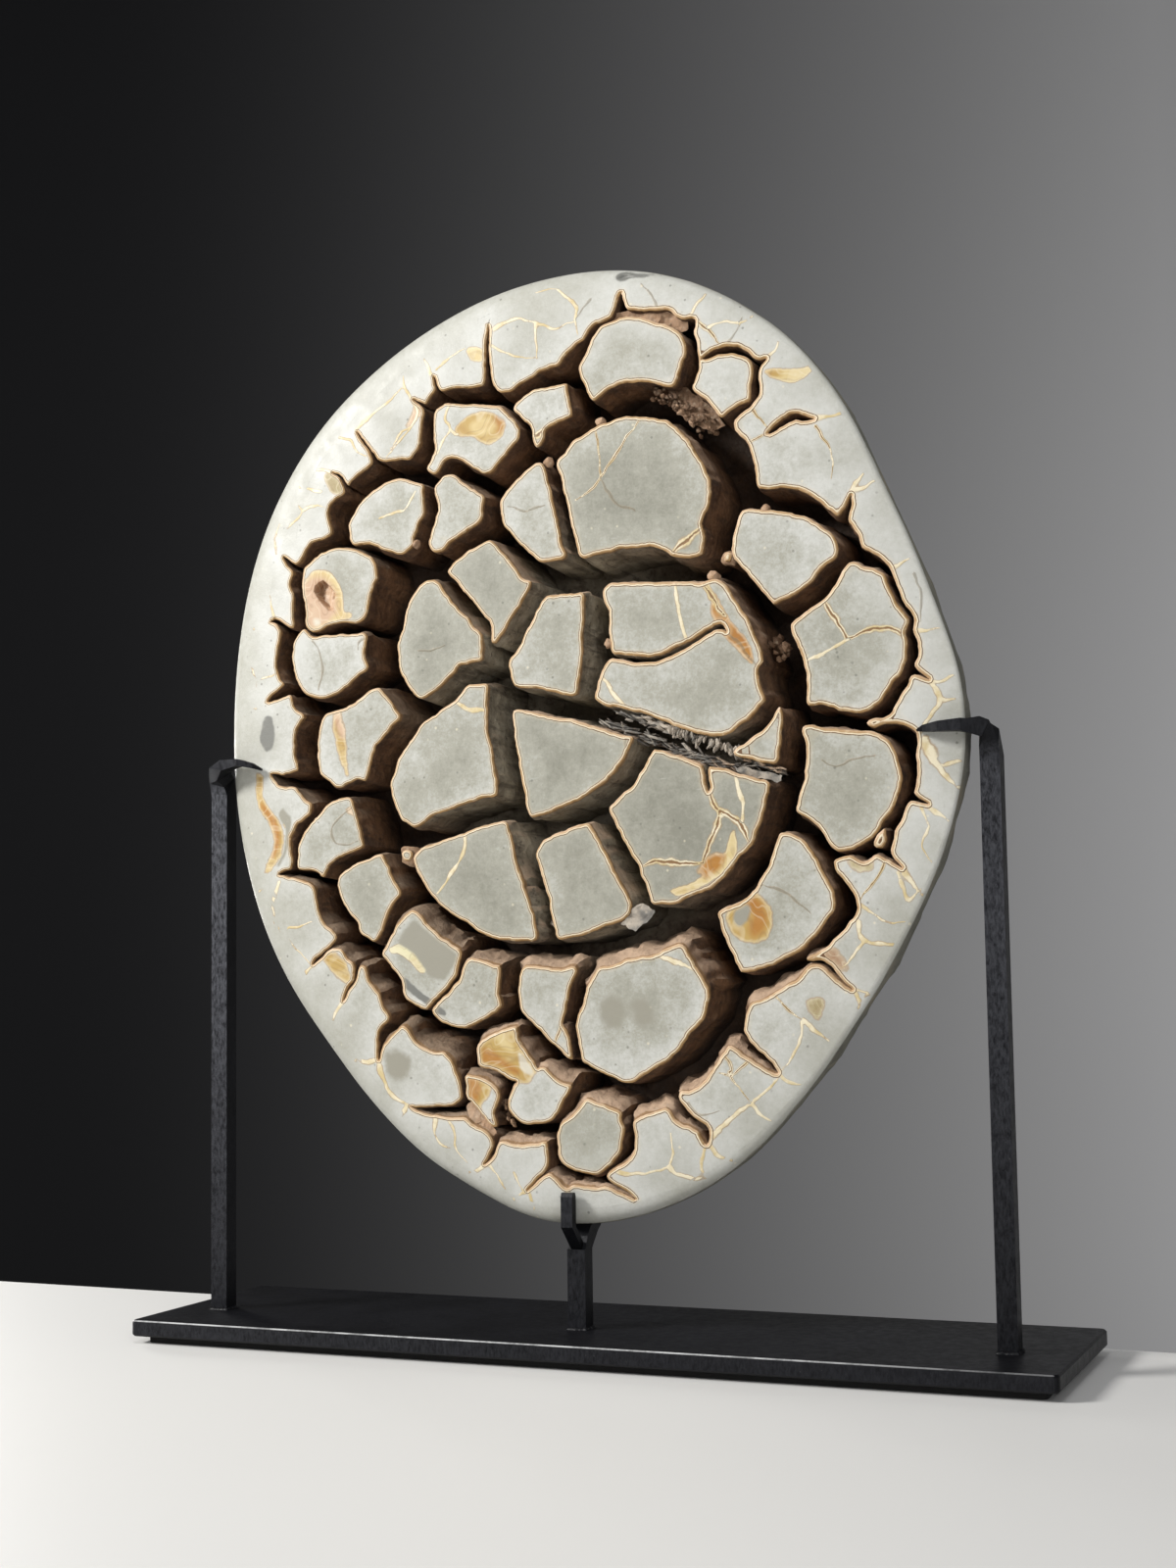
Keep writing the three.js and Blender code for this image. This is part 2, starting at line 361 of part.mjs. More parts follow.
    [33.5, 317.7], [32, 314], [30, 310.5], [28, 307], [25, 303.5], [21, 300], [17, 296],
    [13, 293], [9, 290.5], [3, 287], [-3, 285], [-10, 282.5], [-16, 280.5], [-22, 279],
    [-26, 278.5], [-28, 280], [-29, 285], [-30.5, 292], [-32, 300], [-33, 307],
    [-34, 314], [-35.2, 322], [-36, 328],
  ],
  right_triangle: [
    [113, 330], [110, 325], [107.5, 321.5], [105, 319], [100, 315.5], [94, 311.5],
    [89, 310], [87.5, 307], [88.5, 305], [93, 304], [98, 303], [103, 302], [108, 300.5],
    [111, 299.7], [111.5, 303], [112.5, 309], [113.5, 316], [114.3, 325],
  ],
  crescent_block: [
    [44.5, 311.5], [42.5, 309.5], [41, 306], [39, 302.5], [36, 298], [33, 294], [30, 291],
    [26, 288], [22, 285], [18.5, 282], [18.5, 280], [21, 275], [25, 268], [29, 261],
    [31, 256], [34, 252], [36, 250.3], [36, 247], [38, 242], [40, 237], [42, 230.5],
    [48, 231], [54, 230.5], [58, 232.5], [62, 234], [70, 236.5], [75, 239], [80, 243],
    [85, 248], [90, 254], [94, 256.7], [97, 260], [99.5, 265], [101, 269], [103, 275],
    [104.5, 280], [105.5, 285], [106.5, 290], [107, 292], [104, 292.7], [100, 294],
    [95, 295], [90, 296], [86, 298], [80, 300], [74.3, 301.2], [74, 295], [74.5, 289.7],
    [73.5, 286.5], [72.3, 290], [71.7, 295], [71.7, 301.6], [65, 303.5], [60, 305.5],
    [55, 307.5], [50, 309.5], [47, 311],
  ],
  left_lower_round: [
    [-150, 291], [-147, 292.5], [-143, 293.8], [-139, 294.2], [-135, 293.8],
    [-133, 292.5], [-132, 288], [-130.5, 283], [-129, 277], [-127.5, 271], [-126, 267],
    [-128, 266], [-133, 264.5], [-138, 263], [-143, 261], [-147, 258.5], [-149.5, 255],
    [-151, 251], [-153, 250.7], [-154.5, 253], [-157, 254.5], [-162, 255.3],
    [-167, 255.5], [-169, 256.5], [-169, 261], [-168.5, 266], [-167, 271], [-165, 274.5],
    [-162, 277.5], [-159, 281.5], [-155, 284.5], [-152, 287.5],
  ],
  left_lower_diamond: [
    [-143.5, 248], [-143, 250], [-139, 253.5], [-134, 256.5], [-129, 258.5],
    [-123, 260.5], [-118, 262.5], [-115, 263], [-113.5, 260], [-112, 256], [-109, 249],
    [-106, 244], [-103, 240], [-105, 238.5], [-109, 235], [-111, 232], [-113, 227],
    [-115, 222], [-116.5, 218], [-119, 215], [-121.5, 214.5], [-125, 216.5],
    [-128, 219], [-130, 222], [-130, 225], [-133, 228], [-136, 231], [-140, 237],
    [-142, 242],
  ],
  lower_left_centre: [
    [-96, 257], [-96.5, 259], [-94, 262.5], [-91, 265], [-88, 266], [-83, 267.5],
    [-78, 269], [-70, 271], [-65, 272.5], [-60, 273.7], [-55, 275.2], [-49, 276.5],
    [-43, 277.5], [-39.5, 276.5], [-38.5, 271], [-37, 265], [-35, 257], [-32.5, 249],
    [-29.5, 241], [-27, 234], [-25, 227], [-23.5, 220], [-23, 215], [-24.5, 213.5],
    [-30, 213.2], [-35, 213.2], [-41, 214.5], [-47, 215], [-52, 216.5], [-57, 219.5],
    [-63, 222.7], [-69, 226.3], [-75, 229.7], [-80, 233], [-84, 237], [-88, 242],
    [-92, 248],
  ],
  lower_centre: [
    [-20.5, 265], [-20, 266.3], [-15, 268], [-10, 270], [-5, 271.7], [1, 273.7],
    [7, 275], [8.5, 273.5], [11, 269], [15, 261], [19, 253], [23, 246], [26, 240],
    [29, 235], [30.5, 231], [29, 226], [25, 223], [20, 221.5], [15, 220], [10, 217.7],
    [3, 215.5], [-5, 214], [-10, 213.5], [-12, 214], [-13, 219], [-14.5, 227],
    [-16.5, 235], [-19, 244], [-21, 251], [-23, 256], [-24, 259], [-22.5, 262],
  ],
  comma_block: [
    [111, 265], [113, 266], [118, 264.5], [123, 262], [127, 258], [130, 253], [133, 247],
    [136, 241], [138.5, 236], [139.5, 231], [139, 226], [136, 222], [133, 218],
    [130, 214], [125, 210], [121, 206], [115, 203], [109, 200], [103, 198], [98, 196.5],
    [92, 195.3], [89, 195], [87, 200], [84, 207], [81, 214], [78.5, 220], [77, 225],
    [80, 227.5], [85, 229], [90, 231], [94, 234], [98, 238], [101, 243], [105, 248],
    [107, 253], [108.5, 258], [109.5, 262],
  ],
  lower_left_slant: [
    [-96.5, 232.2], [-99, 230.5], [-102, 228], [-107, 223], [-110, 219], [-113, 214],
    [-115, 210.5], [-116, 208.5], [-114, 206], [-111, 202], [-108, 198.5], [-105, 195.5],
    [-103.5, 191], [-103, 187], [-100, 183], [-96, 180], [-92, 178], [-89, 177],
    [-87.5, 179], [-83, 183.2], [-78, 187.7], [-73, 192.7], [-71, 195], [-69, 201.5],
    [-67.5, 206], [-68, 209], [-71, 211], [-75, 213.3], [-80, 217], [-85, 221.5],
    [-89, 225], [-93, 229.5],
  ],
  lower_left_flag: [
    [-62, 205.3], [-65, 203.3], [-67.7, 198], [-69.5, 193], [-75, 187.5], [-80, 182.7],
    [-84, 179.3], [-86.3, 177.3], [-85, 175], [-81, 172], [-75, 169.2], [-70, 167.8],
    [-65, 168.2], [-60, 170], [-55, 172.5], [-50, 175.5], [-46, 178], [-44, 178.7],
    [-44.5, 181], [-46, 186], [-45.5, 191], [-45, 195], [-45, 200.5], [-49, 201.2],
    [-55, 203],
  ],
  lower_blade: [
    [-31, 200.5], [-33, 198], [-34, 193], [-35, 187], [-34.5, 181], [-32, 176],
    [-28, 171], [-24, 167], [-19, 163], [-15, 159.5], [-11, 156.5], [-8, 154], [-5, 151],
    [-3.5, 150.8], [-3.7, 155], [-4.7, 160], [-6, 165], [-8, 168.2], [-10, 168.8],
    [-9, 174], [-7, 181], [-5, 188], [-2.5, 194], [-0.5, 196], [-0.7, 200], [-5, 199.5],
    [-10, 198.7], [-17, 198.8], [-25, 200.2],
  ],
  lower_round: [
    [9, 195.7], [11, 198.5], [15, 199.7], [20, 201], [25, 202.5], [31, 203.8], [40, 204.2],
    [45, 206.5], [50, 209], [55, 210], [59, 210], [61, 207], [64, 201], [67, 196],
    [70, 191], [72, 187], [72.5, 183], [71.3, 178], [69.3, 172.5], [65, 168.5], [62, 165],
    [59, 161], [54, 156], [50, 152], [45, 148.5], [40, 145.5], [35, 143], [31, 140.7],
    [27, 139.5], [23, 140], [18, 142.5], [13, 145], [8, 147], [3, 149.5], [1, 151],
    [0.5, 155], [-0.5, 161], [-1.5, 165], [-2, 169], [-1, 174], [1, 177], [2.5, 181],
    [4, 186], [5, 190], [6.7, 193],
  ],
  amber_upper: [
    [-59, 151], [-59.5, 157], [-58, 160.5], [-53, 162.5], [-48, 165], [-43, 167.5],
    [-38, 169.2], [-35.5, 169], [-36.5, 166], [-35, 162], [-34, 160], [-31, 157],
    [-28, 153], [-25.5, 150], [-24, 146], [-26, 143], [-30, 140.5], [-34, 140],
    [-38, 140], [-41, 141], [-42.3, 143], [-46, 145], [-51, 146.5], [-56, 147],
    [-58.5, 148.5],
  ],
  amber_lower: [
    [-67, 141], [-66.5, 143.5], [-63, 143.8], [-58, 142.5], [-53, 140.5], [-49, 137.5],
    [-46, 134], [-45.5, 131], [-48, 126], [-49.5, 123], [-48, 119], [-47.7, 116],
    [-49.5, 115.5], [-52.5, 118], [-56, 122], [-60, 126], [-64, 129], [-66, 131],
    [-65.5, 136],
  ],
  bottom_left_round: [
    [-35, 140.5], [-30, 141.5], [-25.5, 144], [-22, 148.5], [-19, 147], [-15, 143],
    [-11, 140.3], [-7, 138.7], [-4, 138.2], [-5, 136.5], [-6.3, 133.5], [-9, 130.5],
    [-11, 127], [-13, 123.5], [-15, 120], [-19, 119], [-23, 118], [-27, 117.5],
    [-32, 117.5], [-36, 120], [-40, 123.5], [-42, 127], [-41.5, 130], [-40, 134],
    [-38, 137.5],
  ],
  bottom_round: [
    [3, 131.5], [0, 128], [-3, 124.3], [-6, 121.5], [-10, 119], [-13, 115.3],
    [-13.8, 112], [-12.7, 107], [-12.7, 102], [-11.5, 98.7], [-8, 96], [-3, 94],
    [2, 93], [8, 92.5], [12, 93], [14, 95], [18, 99], [22, 104], [23.2, 108],
    [25, 115], [23.5, 120], [22.7, 123], [24, 125.3], [21, 126], [15, 127.5],
    [10, 129], [6, 130.7],
  ],
  bottom_left_large: [
    [-104, 170.5], [-107, 167], [-110, 164], [-114, 160], [-116.5, 156.3], [-117.7, 152],
    [-118.5, 150], [-119, 146], [-117.5, 140], [-114, 135], [-109, 131], [-104, 128.5],
    [-100, 126.3], [-95, 125.7], [-90, 126.2], [-84, 126.5], [-78, 126.3], [-73, 127.2],
    [-70, 128.7], [-68.3, 131], [-68.5, 135], [-69.5, 140], [-71.5, 144], [-72, 149],
    [-75, 152.3], [-78, 155], [-82, 154.7], [-88, 156.5], [-93, 158.7], [-97, 162],
    [-100, 166], [-102, 169.5],
  ],
  lower_right_chip: [
    [165.5, 266], [166.7, 260], [164.3, 255], [160, 256.5], [159.5, 259], [162, 262.5],
  ],
};

// Ledges: lumps of calcite that fill part of a channel. Outline and how far the top lies below the face.
const LEDGES = {
  crown_seam: {
    below: 4,
    outline: [
      [17, 538], [18, 543], [26, 545], [40, 547], [60, 543], [67, 538], [66, 531], [60, 530], [40, 537],
    ],
  },
  amber_seam: {
    below: 2,
    outline: [[-66.5, 125.5], [-63, 129.5], [-56, 122.5], [-49, 116], [-47, 113], [-50.5, 110], [-60, 115]],
  },
  grey_chip: {
    below: 1,
    outline: [
      [23, 221.7], [27, 226], [30, 229.5], [34.5, 231.7], [39, 230.6], [43.5, 227.3],
      [42, 224], [37, 221], [32, 218], [27, 220],
    ],
  },
  lower_crust: {
    below: 9,
    outline: [[52, 501], [60, 504], [70, 497], [79, 487], [85, 479], [77, 477], [66, 482], [57, 491]],
  },
  rubble: {
    below: 3,
    outline: [[86, 300.5], [95, 299], [104, 296.5], [113, 294], [112, 291], [104, 292], [92, 295]],
  },
};

// Small balls of calcite on the blocks' edges: centre [x, z], radius and how far the centre lies below.
const KNOBS = [
  { at: [-14, 469], radius: 2.9, below: 3 },
  { at: [16.5, 487], radius: 2.6, below: 3 },
  { at: [86.5, 408], radius: 4.2, below: 3 },
  { at: [-100, 261], radius: 5.6, below: 4 },
  { at: [19, 368.5], radius: 2.8, below: 3 },
  { at: [107, 431.5], radius: 2.6, below: 2.5 },
  { at: [78, 399], radius: 3.4, below: 3 },
  { at: [-94.5, 432], radius: 2.6, below: 3 },
];
const KNOB_DETAIL = 1;

// Pits sunk into the face: rim outline, deepest point [x, z] and its depth.
const PITS = [
  {
    outline: [[-158, 414], [-152, 417], [-147, 415.5], [-145, 410], [-147, 402], [-149, 399.5], [-154, 405]],
    deepest: [-152, 411], depth: 5,
  },
  {
    outline: [[26, 563.5], [30, 567], [35, 566], [40, 563.8], [34, 562], [29, 562.5]],
    deepest: [31, 564.5], depth: 3,
  },
];

// ---------------------------------------------------------------- colours

const STONE_GREY = new THREE.Color(0.72, 0.72, 0.66);
const STEEL_BLACK = new THREE.Color(0.02, 0.02, 0.022);
const FELT_BLACK = new THREE.Color(0.012, 0.012, 0.012);

const stoneMaterial = () => new THREE.MeshStandardMaterial({
  color: STONE_GREY, roughness: 0.6, metalness: 0,
});
const steelMaterial = () => new THREE.MeshStandardMaterial({
  color: STEEL_BLACK, roughness: 0.45, metalness: 0.3,
});
const feltMaterial = () => new THREE.MeshStandardMaterial({
  color: FELT_BLACK, roughness: 0.95, metalness: 0,
});

// ---------------------------------------------------------------- solids and geometries

function toSolid(geometry) {
  const bare = geometry.index ? geometry.toNonIndexed() : geometry.clone();
  bare.deleteAttribute('normal');
  bare.deleteAttribute('uv');
  const merged = mergeVertices(bare, 1e-4);
  return new wasm.Manifold(new wasm.Mesh({
    numProp: 3,
    vertProperties: new Float32Array(merged.attributes.position.array),
    triVerts: new Uint32Array(merged.index.array),
  }));
}

function toGeometry(solid) {
  const mesh = solid.getMesh();
  const geometry = new THREE.BufferGeometry();
  geometry.setAttribute('position', new THREE.BufferAttribute(mesh.vertProperties, 3));
  geometry.setIndex(new THREE.BufferAttribute(mesh.triVerts, 1));
  geometry.computeVertexNormals();
  return geometry;
}

// The outline without the points that lie nearly on the line between their neighbours.
function withoutFlatPoints(outline) {
  const kept = [];
  outline.forEach(([x, z], i) => {
    const [x0, z0] = kept.at(-1) ?? outline.at(-1);
    const [x1, z1] = outline[(i + 1) % outline.length];
    const away = Math.abs((x - x0) * (z1 - z0) - (z - z0) * (x1 - x0)) / Math.hypot(x1 - x0, z1 - z0);
    const ahead = (x - x0) * (x1 - x0) + (z - z0) * (z1 - z0) > 0;
    if (away > FLATNESS || !ahead) {
      kept.push([x, z]);
    }
  });
  return kept;
}

// A prism whose outline lies in the plane of the face and which runs from frontY back to backY.
function facePrism(outline, frontY, backY) {
  const points = withoutFlatPoints(outline).map(([x, z]) => new THREE.Vector2(x, z));
  const shape = new THREE.Shape(points);
  const geometry = new THREE.ExtrudeGeometry(shape, { depth: backY - frontY, bevelEnabled: false });
  geometry.rotateX(Math.PI / 2);
  geometry.translate(0, backY, 0);
  return toSolid(geometry);
}

// The faces between neighbouring rings of points; every ring has as many points.
function sideFaces(rings) {
  const count = rings[0].length;
  const faces = [];
  for (let r = 0; r + 1 < rings.length; r += 1) {
    for (let i = 0; i < count; i += 1) {
      const a = r * count + i;
      const b = r * count + (i + 1) % count;
      faces.push([a, b, b + count], [a, b + count, a + count]);
    }
  }
  return faces;
}

function meshOf(points, faces) {
  const geometry = new THREE.BufferGeometry();
  geometry.setAttribute('position', new THREE.Float32BufferAttribute(points.flat(), 3));
  geometry.setIndex(faces.flat());
  return geometry;
}

// A closed solid through rings that run clockwise as seen from the front: the first ring is capped
// flat and the last one closes on the point `tip`.
function loftToTip(rings, tip) {
  const count = rings[0].length;
  const start = (rings.length - 1) * count;
  const faces = sideFaces(rings);
  const outline = rings[0].map(([x, , z]) => new THREE.Vector2(x, z));
  faces.push(...THREE.ShapeUtils.triangulateShape(outline, []));
  for (let i = 0; i < count; i += 1) {
    faces.push([start + i, start + (i + 1) % count, rings.length * count]);
  }
  return toSolid(meshOf([...rings.flat(), tip], faces));
}

// ---------------------------------------------------------------- the stone's body

const degrees = (angle) => angle * Math.PI / 180;

// Evenly spaced points on a smooth closed curve through the rim's outline.
function rimPoints() {
  const knots = RIM_OUTLINE.map(([x, z]) => new THREE.Vector3(x, 0, z));
  const curve = new THREE.CatmullRomCurve3(knots, true, 'centripetal');
  return curve.getSpacedPoints(RIM_STEPS).slice(0, RIM_STEPS);
}

// Width, depth and rind height of the rim's rounding in one direction from the stone's centre.
function roundingAt(angle) {
  const turn = (angle + 360) % 360;
  const count = RIM_ROUNDING.length;
  const next = RIM_ROUNDING.findIndex((entry) => entry.at > turn);
  const after = RIM_ROUNDING[next < 0 ? 0 : next];
  const before = RIM_ROUNDING[(next < 0 ? count - 1 : next - 1 + count) % count];
  const span = (after.at - before.at + 360) % 360;
  const share = THREE.MathUtils.smoothstep((turn - before.at + 360) % 360, 0, span);
  const mix = (key) => THREE.MathUtils.lerp(before[key], after[key], share);
  return { width: mix('width'), depth: mix('depth'), rind: mix('rind') };
}

// Gentle lumps of the natural rind, from none at the polished edge to full height on the dome, and none
// where the cradle carries the stone.
function lump(x, y, z) {
  const wave = Math.sin(x * 0.041 + 1.3) * Math.cos(z * 0.037 - 0.7)
    + 0.5 * Math.sin(x * 0.062 + z * 0.021 + 0.4) * Math.sin(z * 0.057 - x * 0.018 + 2.3)
    + 0.25 * Math.cos(x * 0.094 - 1.1) * Math.cos(z * 0.088 + 0.5);
  const fromCradle = Math.hypot(x - POST.x, z - POST.top);
  return LUMP_HEIGHT * wave * THREE.MathUtils.smoothstep(y, FACE_Y + 14, FACE_Y + 45)
    * THREE.MathUtils.smoothstep(fromCradle, 45, 90);
}

// One ring of the body: the rim moved inwards by inset(p) and placed at depth(p) behind the face.
function bodyRing(rim, inset, depth) {
  return rim.map((point, i) => {
    const before = rim[(i + rim.length - 1) % rim.length];
    const after = rim[(i + 1) % rim.length];
    const along = new THREE.Vector3().subVectors(after, before).normalize();
    const inward = new THREE.Vector3(along.z, 0, -along.x);
    const shift = inset(point);
    return [point.x + inward.x * shift, FACE_Y + depth(point), point.z + inward.z * shift];
  });
}

// The rounded solid of the whole stone before it cracked.
function bodySolid() {
  const rim = rimPoints();
  const rounding = (p) => roundingAt(Math.atan2(p.z - STONE_CENTRE[1], p.x - STONE_CENTRE[0]) / degrees(1));
  const rings = ROUNDING_ANGLES.map((angle) => bodyRing(
    rim,
    (p) => rounding(p).width * (1 - Math.sin(degrees(angle))),
    (p) => rounding(p).depth * (1 - Math.cos(degrees(angle))),
  ));
  DOME_REACHES.forEach((reach) => rings.push(domeRing(rim, rounding, reach)));
  const [x, z] = STONE_CENTRE;
  return loftToTip(rings, [x, BACK_Y + lump(x, BACK_Y, z), z]);
}

// A ring of the domed back, from the top of the rind (reach 1) towards the middle of the back (reach 0).
function domeRing(rim, rounding, reach) {
  const rise = Math.sqrt(1 - reach ** DOME_POWER);
  return rim.map((p) => {
    const { depth, rind } = rounding(p);
    const start = FACE_Y + depth + rind;
    const y = start + (BACK_Y - start) * rise;
    const fromRimX = p.x - STONE_CENTRE[0];
    const fromRimZ = p.z - STONE_CENTRE[1];
    const toOval = 1 / Math.hypot(fromRimX / DOME_RADII[0], fromRimZ / DOME_RADII[1]);
    const size = THREE.MathUtils.lerp(toOval, 1, reach ** 2);
    const dx = fromRimX * size;
    const dz = fromRimZ * size;
    const x = STONE_CENTRE[0] + dx * reach;
    const z = STONE_CENTRE[1] + dz * reach;
    const grow = lump(x, y, z);
    const outwards = grow * (1 - rise) / Math.hypot(dx, dz);
    return [x + dx * outwards, y + grow * rise, z + dz * outwards];
  });
}

// ---------------------------------------------------------------- the stone's cracks

// The bowl that limits how deep the channels go: shallow near the rim and deepest in the middle.
function bowlSolid() {
  const [centreX, centreZ] = STONE_CENTRE;
  const rim = rimPoints().filter((_, i) => i % 4 === 0);
  const bowlRing = (reach, depth) => rim.map((p) => [
    centreX + (p.x - centreX) * reach, FACE_Y + depth, centreZ + (p.z - centreZ) * reach,
  ]);
  const rings = [bowlRing(BOWL_REACH, -PROUD)];
  for (let step = 0; step < BOWL_STEPS; step += 1) {
    const angle = degrees(90 * step / BOWL_STEPS);
    const depth = THREE.MathUtils.lerp(CHANNEL_DEPTH_AT_RIM, CHANNEL_DEPTH_AT_CENTRE, Math.sin(angle));
    rings.push(bowlRing(BOWL_REACH * Math.cos(angle), depth));
  }
  return loftToTip(rings, [centreX, FACE_Y + CHANNEL_DEPTH_AT_CENTRE, centreZ]);
}

function knobSolid({ at: [x, z], radius, below }) {
  const ball = new THREE.IcosahedronGeometry(radius, KNOB_DETAIL);
  ball.translate(x, FACE_Y + below, z);
  return toSolid(ball);
}

// A pit: an upturned cone from just proud of the face down to its deepest point.
function pitSolid({ outline, deepest, depth }) {
  const rings = [
    outline.map(([x, z]) => [x, FACE_Y - 1, z]),
    outline.map(([x, z]) => [x, FACE_Y, z]),
  ];
  return loftToTip(rings, [deepest[0], FACE_Y + depth, deepest[1]]);
}

// The open channels: the cracked area as deep as the bowl, less all that still stands in it.
function channelSolid() {
  const cut = (outline) => facePrism(outline, FACE_Y - PROUD, BACK_Y);
  const area = cut(CRACKED_AREA).add(cut(LONE_CRACK));
  const standing = [
    ...Object.values(BLOCKS).map(cut),
    ...Object.values(LEDGES).map(({ outline, below }) => facePrism(outline, FACE_Y + below, BACK_Y)),
    ...KNOBS.map(knobSolid),
  ];
  return standing.reduce((left, block) => left.subtract(block), area.intersect(bowlSolid()));
}

function stoneGeometry() {
  const cracked = bodySolid().subtract(channelSolid());
  return toGeometry(PITS.map(pitSolid).reduce((left, pit) => left.subtract(pit), cracked));
}

// ---------------------------------------------------------------- the stand's plates

function roundedRectangle(width, depth, corner) {
  const shape = new THREE.Shape();
  const x = width / 2;
  const y = depth / 2;
  shape.moveTo(-x + corner, -y);
  shape.lineTo(x - corner, -y);
  shape.absarc(x - corner, -y + corner, corner, -Math.PI / 2, 0);
  shape.lineTo(x, y - corner);
  shape.absarc(x - corner, y - corner, corner, 0, Math.PI / 2);
  shape.lineTo(-x + corner, y);
  shape.absarc(-x + corner, y - corner, corner, Math.PI / 2, Math.PI);
  shape.lineTo(-x, -y + corner);
  shape.absarc(-x + corner, -y + corner, corner, Math.PI, Math.PI * 1.5);
  return shape;
}

function plateGeometry() {
  const geometry = new THREE.ExtrudeGeometry(
    roundedRectangle(PLATE.length - 2 * PLATE.bevel, PLATE.depth - 2 * PLATE.bevel, PLATE.corner),
    {
      depth: PLATE.thickness - 2 * PLATE.bevel,
      bevelThickness: PLATE.bevel,
      bevelSize: PLATE.bevel,
      bevelSegments: 1,
      curveSegments: 3,
    },
  );
  geometry.translate(0, 0, PAD.thickness + PLATE.bevel);
  return toGeometry(toSolid(geometry));
}

function padGeometry() {
  const shape = roundedRectangle(PLATE.length - 2 * PAD.inset, PLATE.depth - 2 * PAD.inset, PAD.corner);
  const geometry = new THREE.ExtrudeGeometry(shape, {
    depth: PAD.thickness, bevelEnabled: false, curveSegments: 3,
  });
  return toGeometry(toSolid(geometry));
}

// ---------------------------------------------------------------- the stand's bars

// A bar along a path of [x, y, z, depth, width], with mitred joints. The section's depth stays as close
// to the Y direction as the path lets it.
function barGeometry(path) {
  const points = path.map(([x, y, z]) => new THREE.Vector3(x, y, z));
  const corners = [[-0.5, -0.5], [0.5, -0.5], [0.5, 0.5], [-0.5, 0.5]];
  const rings = points.map((point, i) => {
    const [depth, width] = path[i].slice(3);
    const before = points[Math.max(i - 1, 0)];
    const after = points[Math.min(i + 1, points.length - 1)];
    const along = new THREE.Vector3().subVectors(after, before).normalize();
    const side = new THREE.Vector3(0, 1, 0).addScaledVector(along, -along.y).normalize();
    const across = new THREE.Vector3().crossVectors(along, side);
    return corners.map(([a, b]) => point.clone()
      .addScaledVector(side, a * depth).addScaledVector(across, b * width).toArray());
  });
  const last = (rings.length - 1) * corners.length;
  const faces = sideFaces(rings);
  faces.push([2, 1, 0], [3, 2, 0], [last, last + 1, last + 2], [last, last + 2, last + 3]);
  return toGeometry(toSolid(meshOf(rings.flat(), faces)));
}

function postGeometry() {
  const height = POST.top - PLATE_TOP;
  const geometry = new THREE.BoxGeometry(BAR, BAR, height);
  geometry.translate(POST.x, BAR_Y, PLATE_TOP + height / 2);
  return toGeometry(toSolid(geometry));
}

// A piece of flat steel bent in the YZ plane: its side outline [y, z] and its width along X.
function bentStrip(outline, width) {
  const shape = new THREE.Shape(outline.map(([y, z]) => new THREE.Vector2(y, z)));
  const geometry = new THREE.ExtrudeGeometry(shape, { depth: width, bevelEnabled: false });
  // Stands the outline up, (y, z, x) to (x, y, z).
  geometry.applyMatrix4(new THREE.Matrix4().makeBasis(
    new THREE.Vector3(0, 1, 0), new THREE.Vector3(0, 0, 1), new THREE.Vector3(1, 0, 0),
  ));
  geometry.translate(POST.x - width / 2, 0, 0);
  return toSolid(geometry);
}

// The cradle: a finger in front of the stone's lowest edge and an arm that follows its underside.
function cradleGeometry() {
  const { back, thickness, width, foot, tip, chamfer } = FINGER;
  const front = back - thickness;
  const finger = [
    [-20, POST.top], [-12.5, POST.top], [-19, 57.5], [-22.5, 61], [back, foot], [back, tip - chamfer],
    [back - chamfer / 2, tip], [front + chamfer / 2, tip], [front, tip - chamfer], [front, foot],
  ];
  return toGeometry(bentStrip(finger, width).add(bentStrip(ARM_OUTLINE, BAR)));
}

// ---------------------------------------------------------------- the whole object

const nodule = new THREE.Group();

function addPart(name, geometry, material) {
  const mesh = new THREE.Mesh(geometry, material);
  mesh.name = name;
  nodule.add(mesh);
}

addPart('base_pad', padGeometry(), feltMaterial());
addPart('base_plate', plateGeometry(), steelMaterial());
addPart('left_upright', barGeometry(LEFT_BAR), steelMaterial());
addPart('right_upright', barGeometry(RIGHT_BAR), steelMaterial());
addPart('centre_post', postGeometry(), steelMaterial());
addPart('cradle', cradleGeometry(), steelMaterial());
addPart('stone', stoneGeometry(), stoneMaterial());

export default nodule;
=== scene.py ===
"""A septarian nodule on its black steel stand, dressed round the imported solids.

The stone is remade as one fine mesh from the outlines that its solid gives: the flat cut face with its
blocks, the walls and floor of the cracks, the rounded rim and the domed rind. Lengths are in millimetres
until a mesh is made.
"""

import math
import random

import bmesh
import bpy
import numpy as np
from mathutils import Matrix, Vector, kdtree, noise
from mathutils.geometry import delaunay_2d_cdt


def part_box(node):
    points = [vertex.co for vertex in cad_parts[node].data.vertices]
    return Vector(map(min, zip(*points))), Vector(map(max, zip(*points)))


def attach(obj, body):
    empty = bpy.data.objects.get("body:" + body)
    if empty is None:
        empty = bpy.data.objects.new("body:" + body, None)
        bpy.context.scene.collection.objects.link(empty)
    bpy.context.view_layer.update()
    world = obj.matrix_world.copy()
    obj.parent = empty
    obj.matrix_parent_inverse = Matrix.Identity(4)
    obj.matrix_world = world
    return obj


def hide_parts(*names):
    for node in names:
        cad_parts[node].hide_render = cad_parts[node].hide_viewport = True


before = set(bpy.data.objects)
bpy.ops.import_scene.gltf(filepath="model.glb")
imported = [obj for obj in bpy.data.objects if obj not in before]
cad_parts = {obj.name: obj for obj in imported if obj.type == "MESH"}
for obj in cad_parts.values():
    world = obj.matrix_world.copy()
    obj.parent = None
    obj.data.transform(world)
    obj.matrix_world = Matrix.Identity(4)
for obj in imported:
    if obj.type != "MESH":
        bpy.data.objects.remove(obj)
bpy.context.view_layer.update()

MM = 0.001
SEED = 7
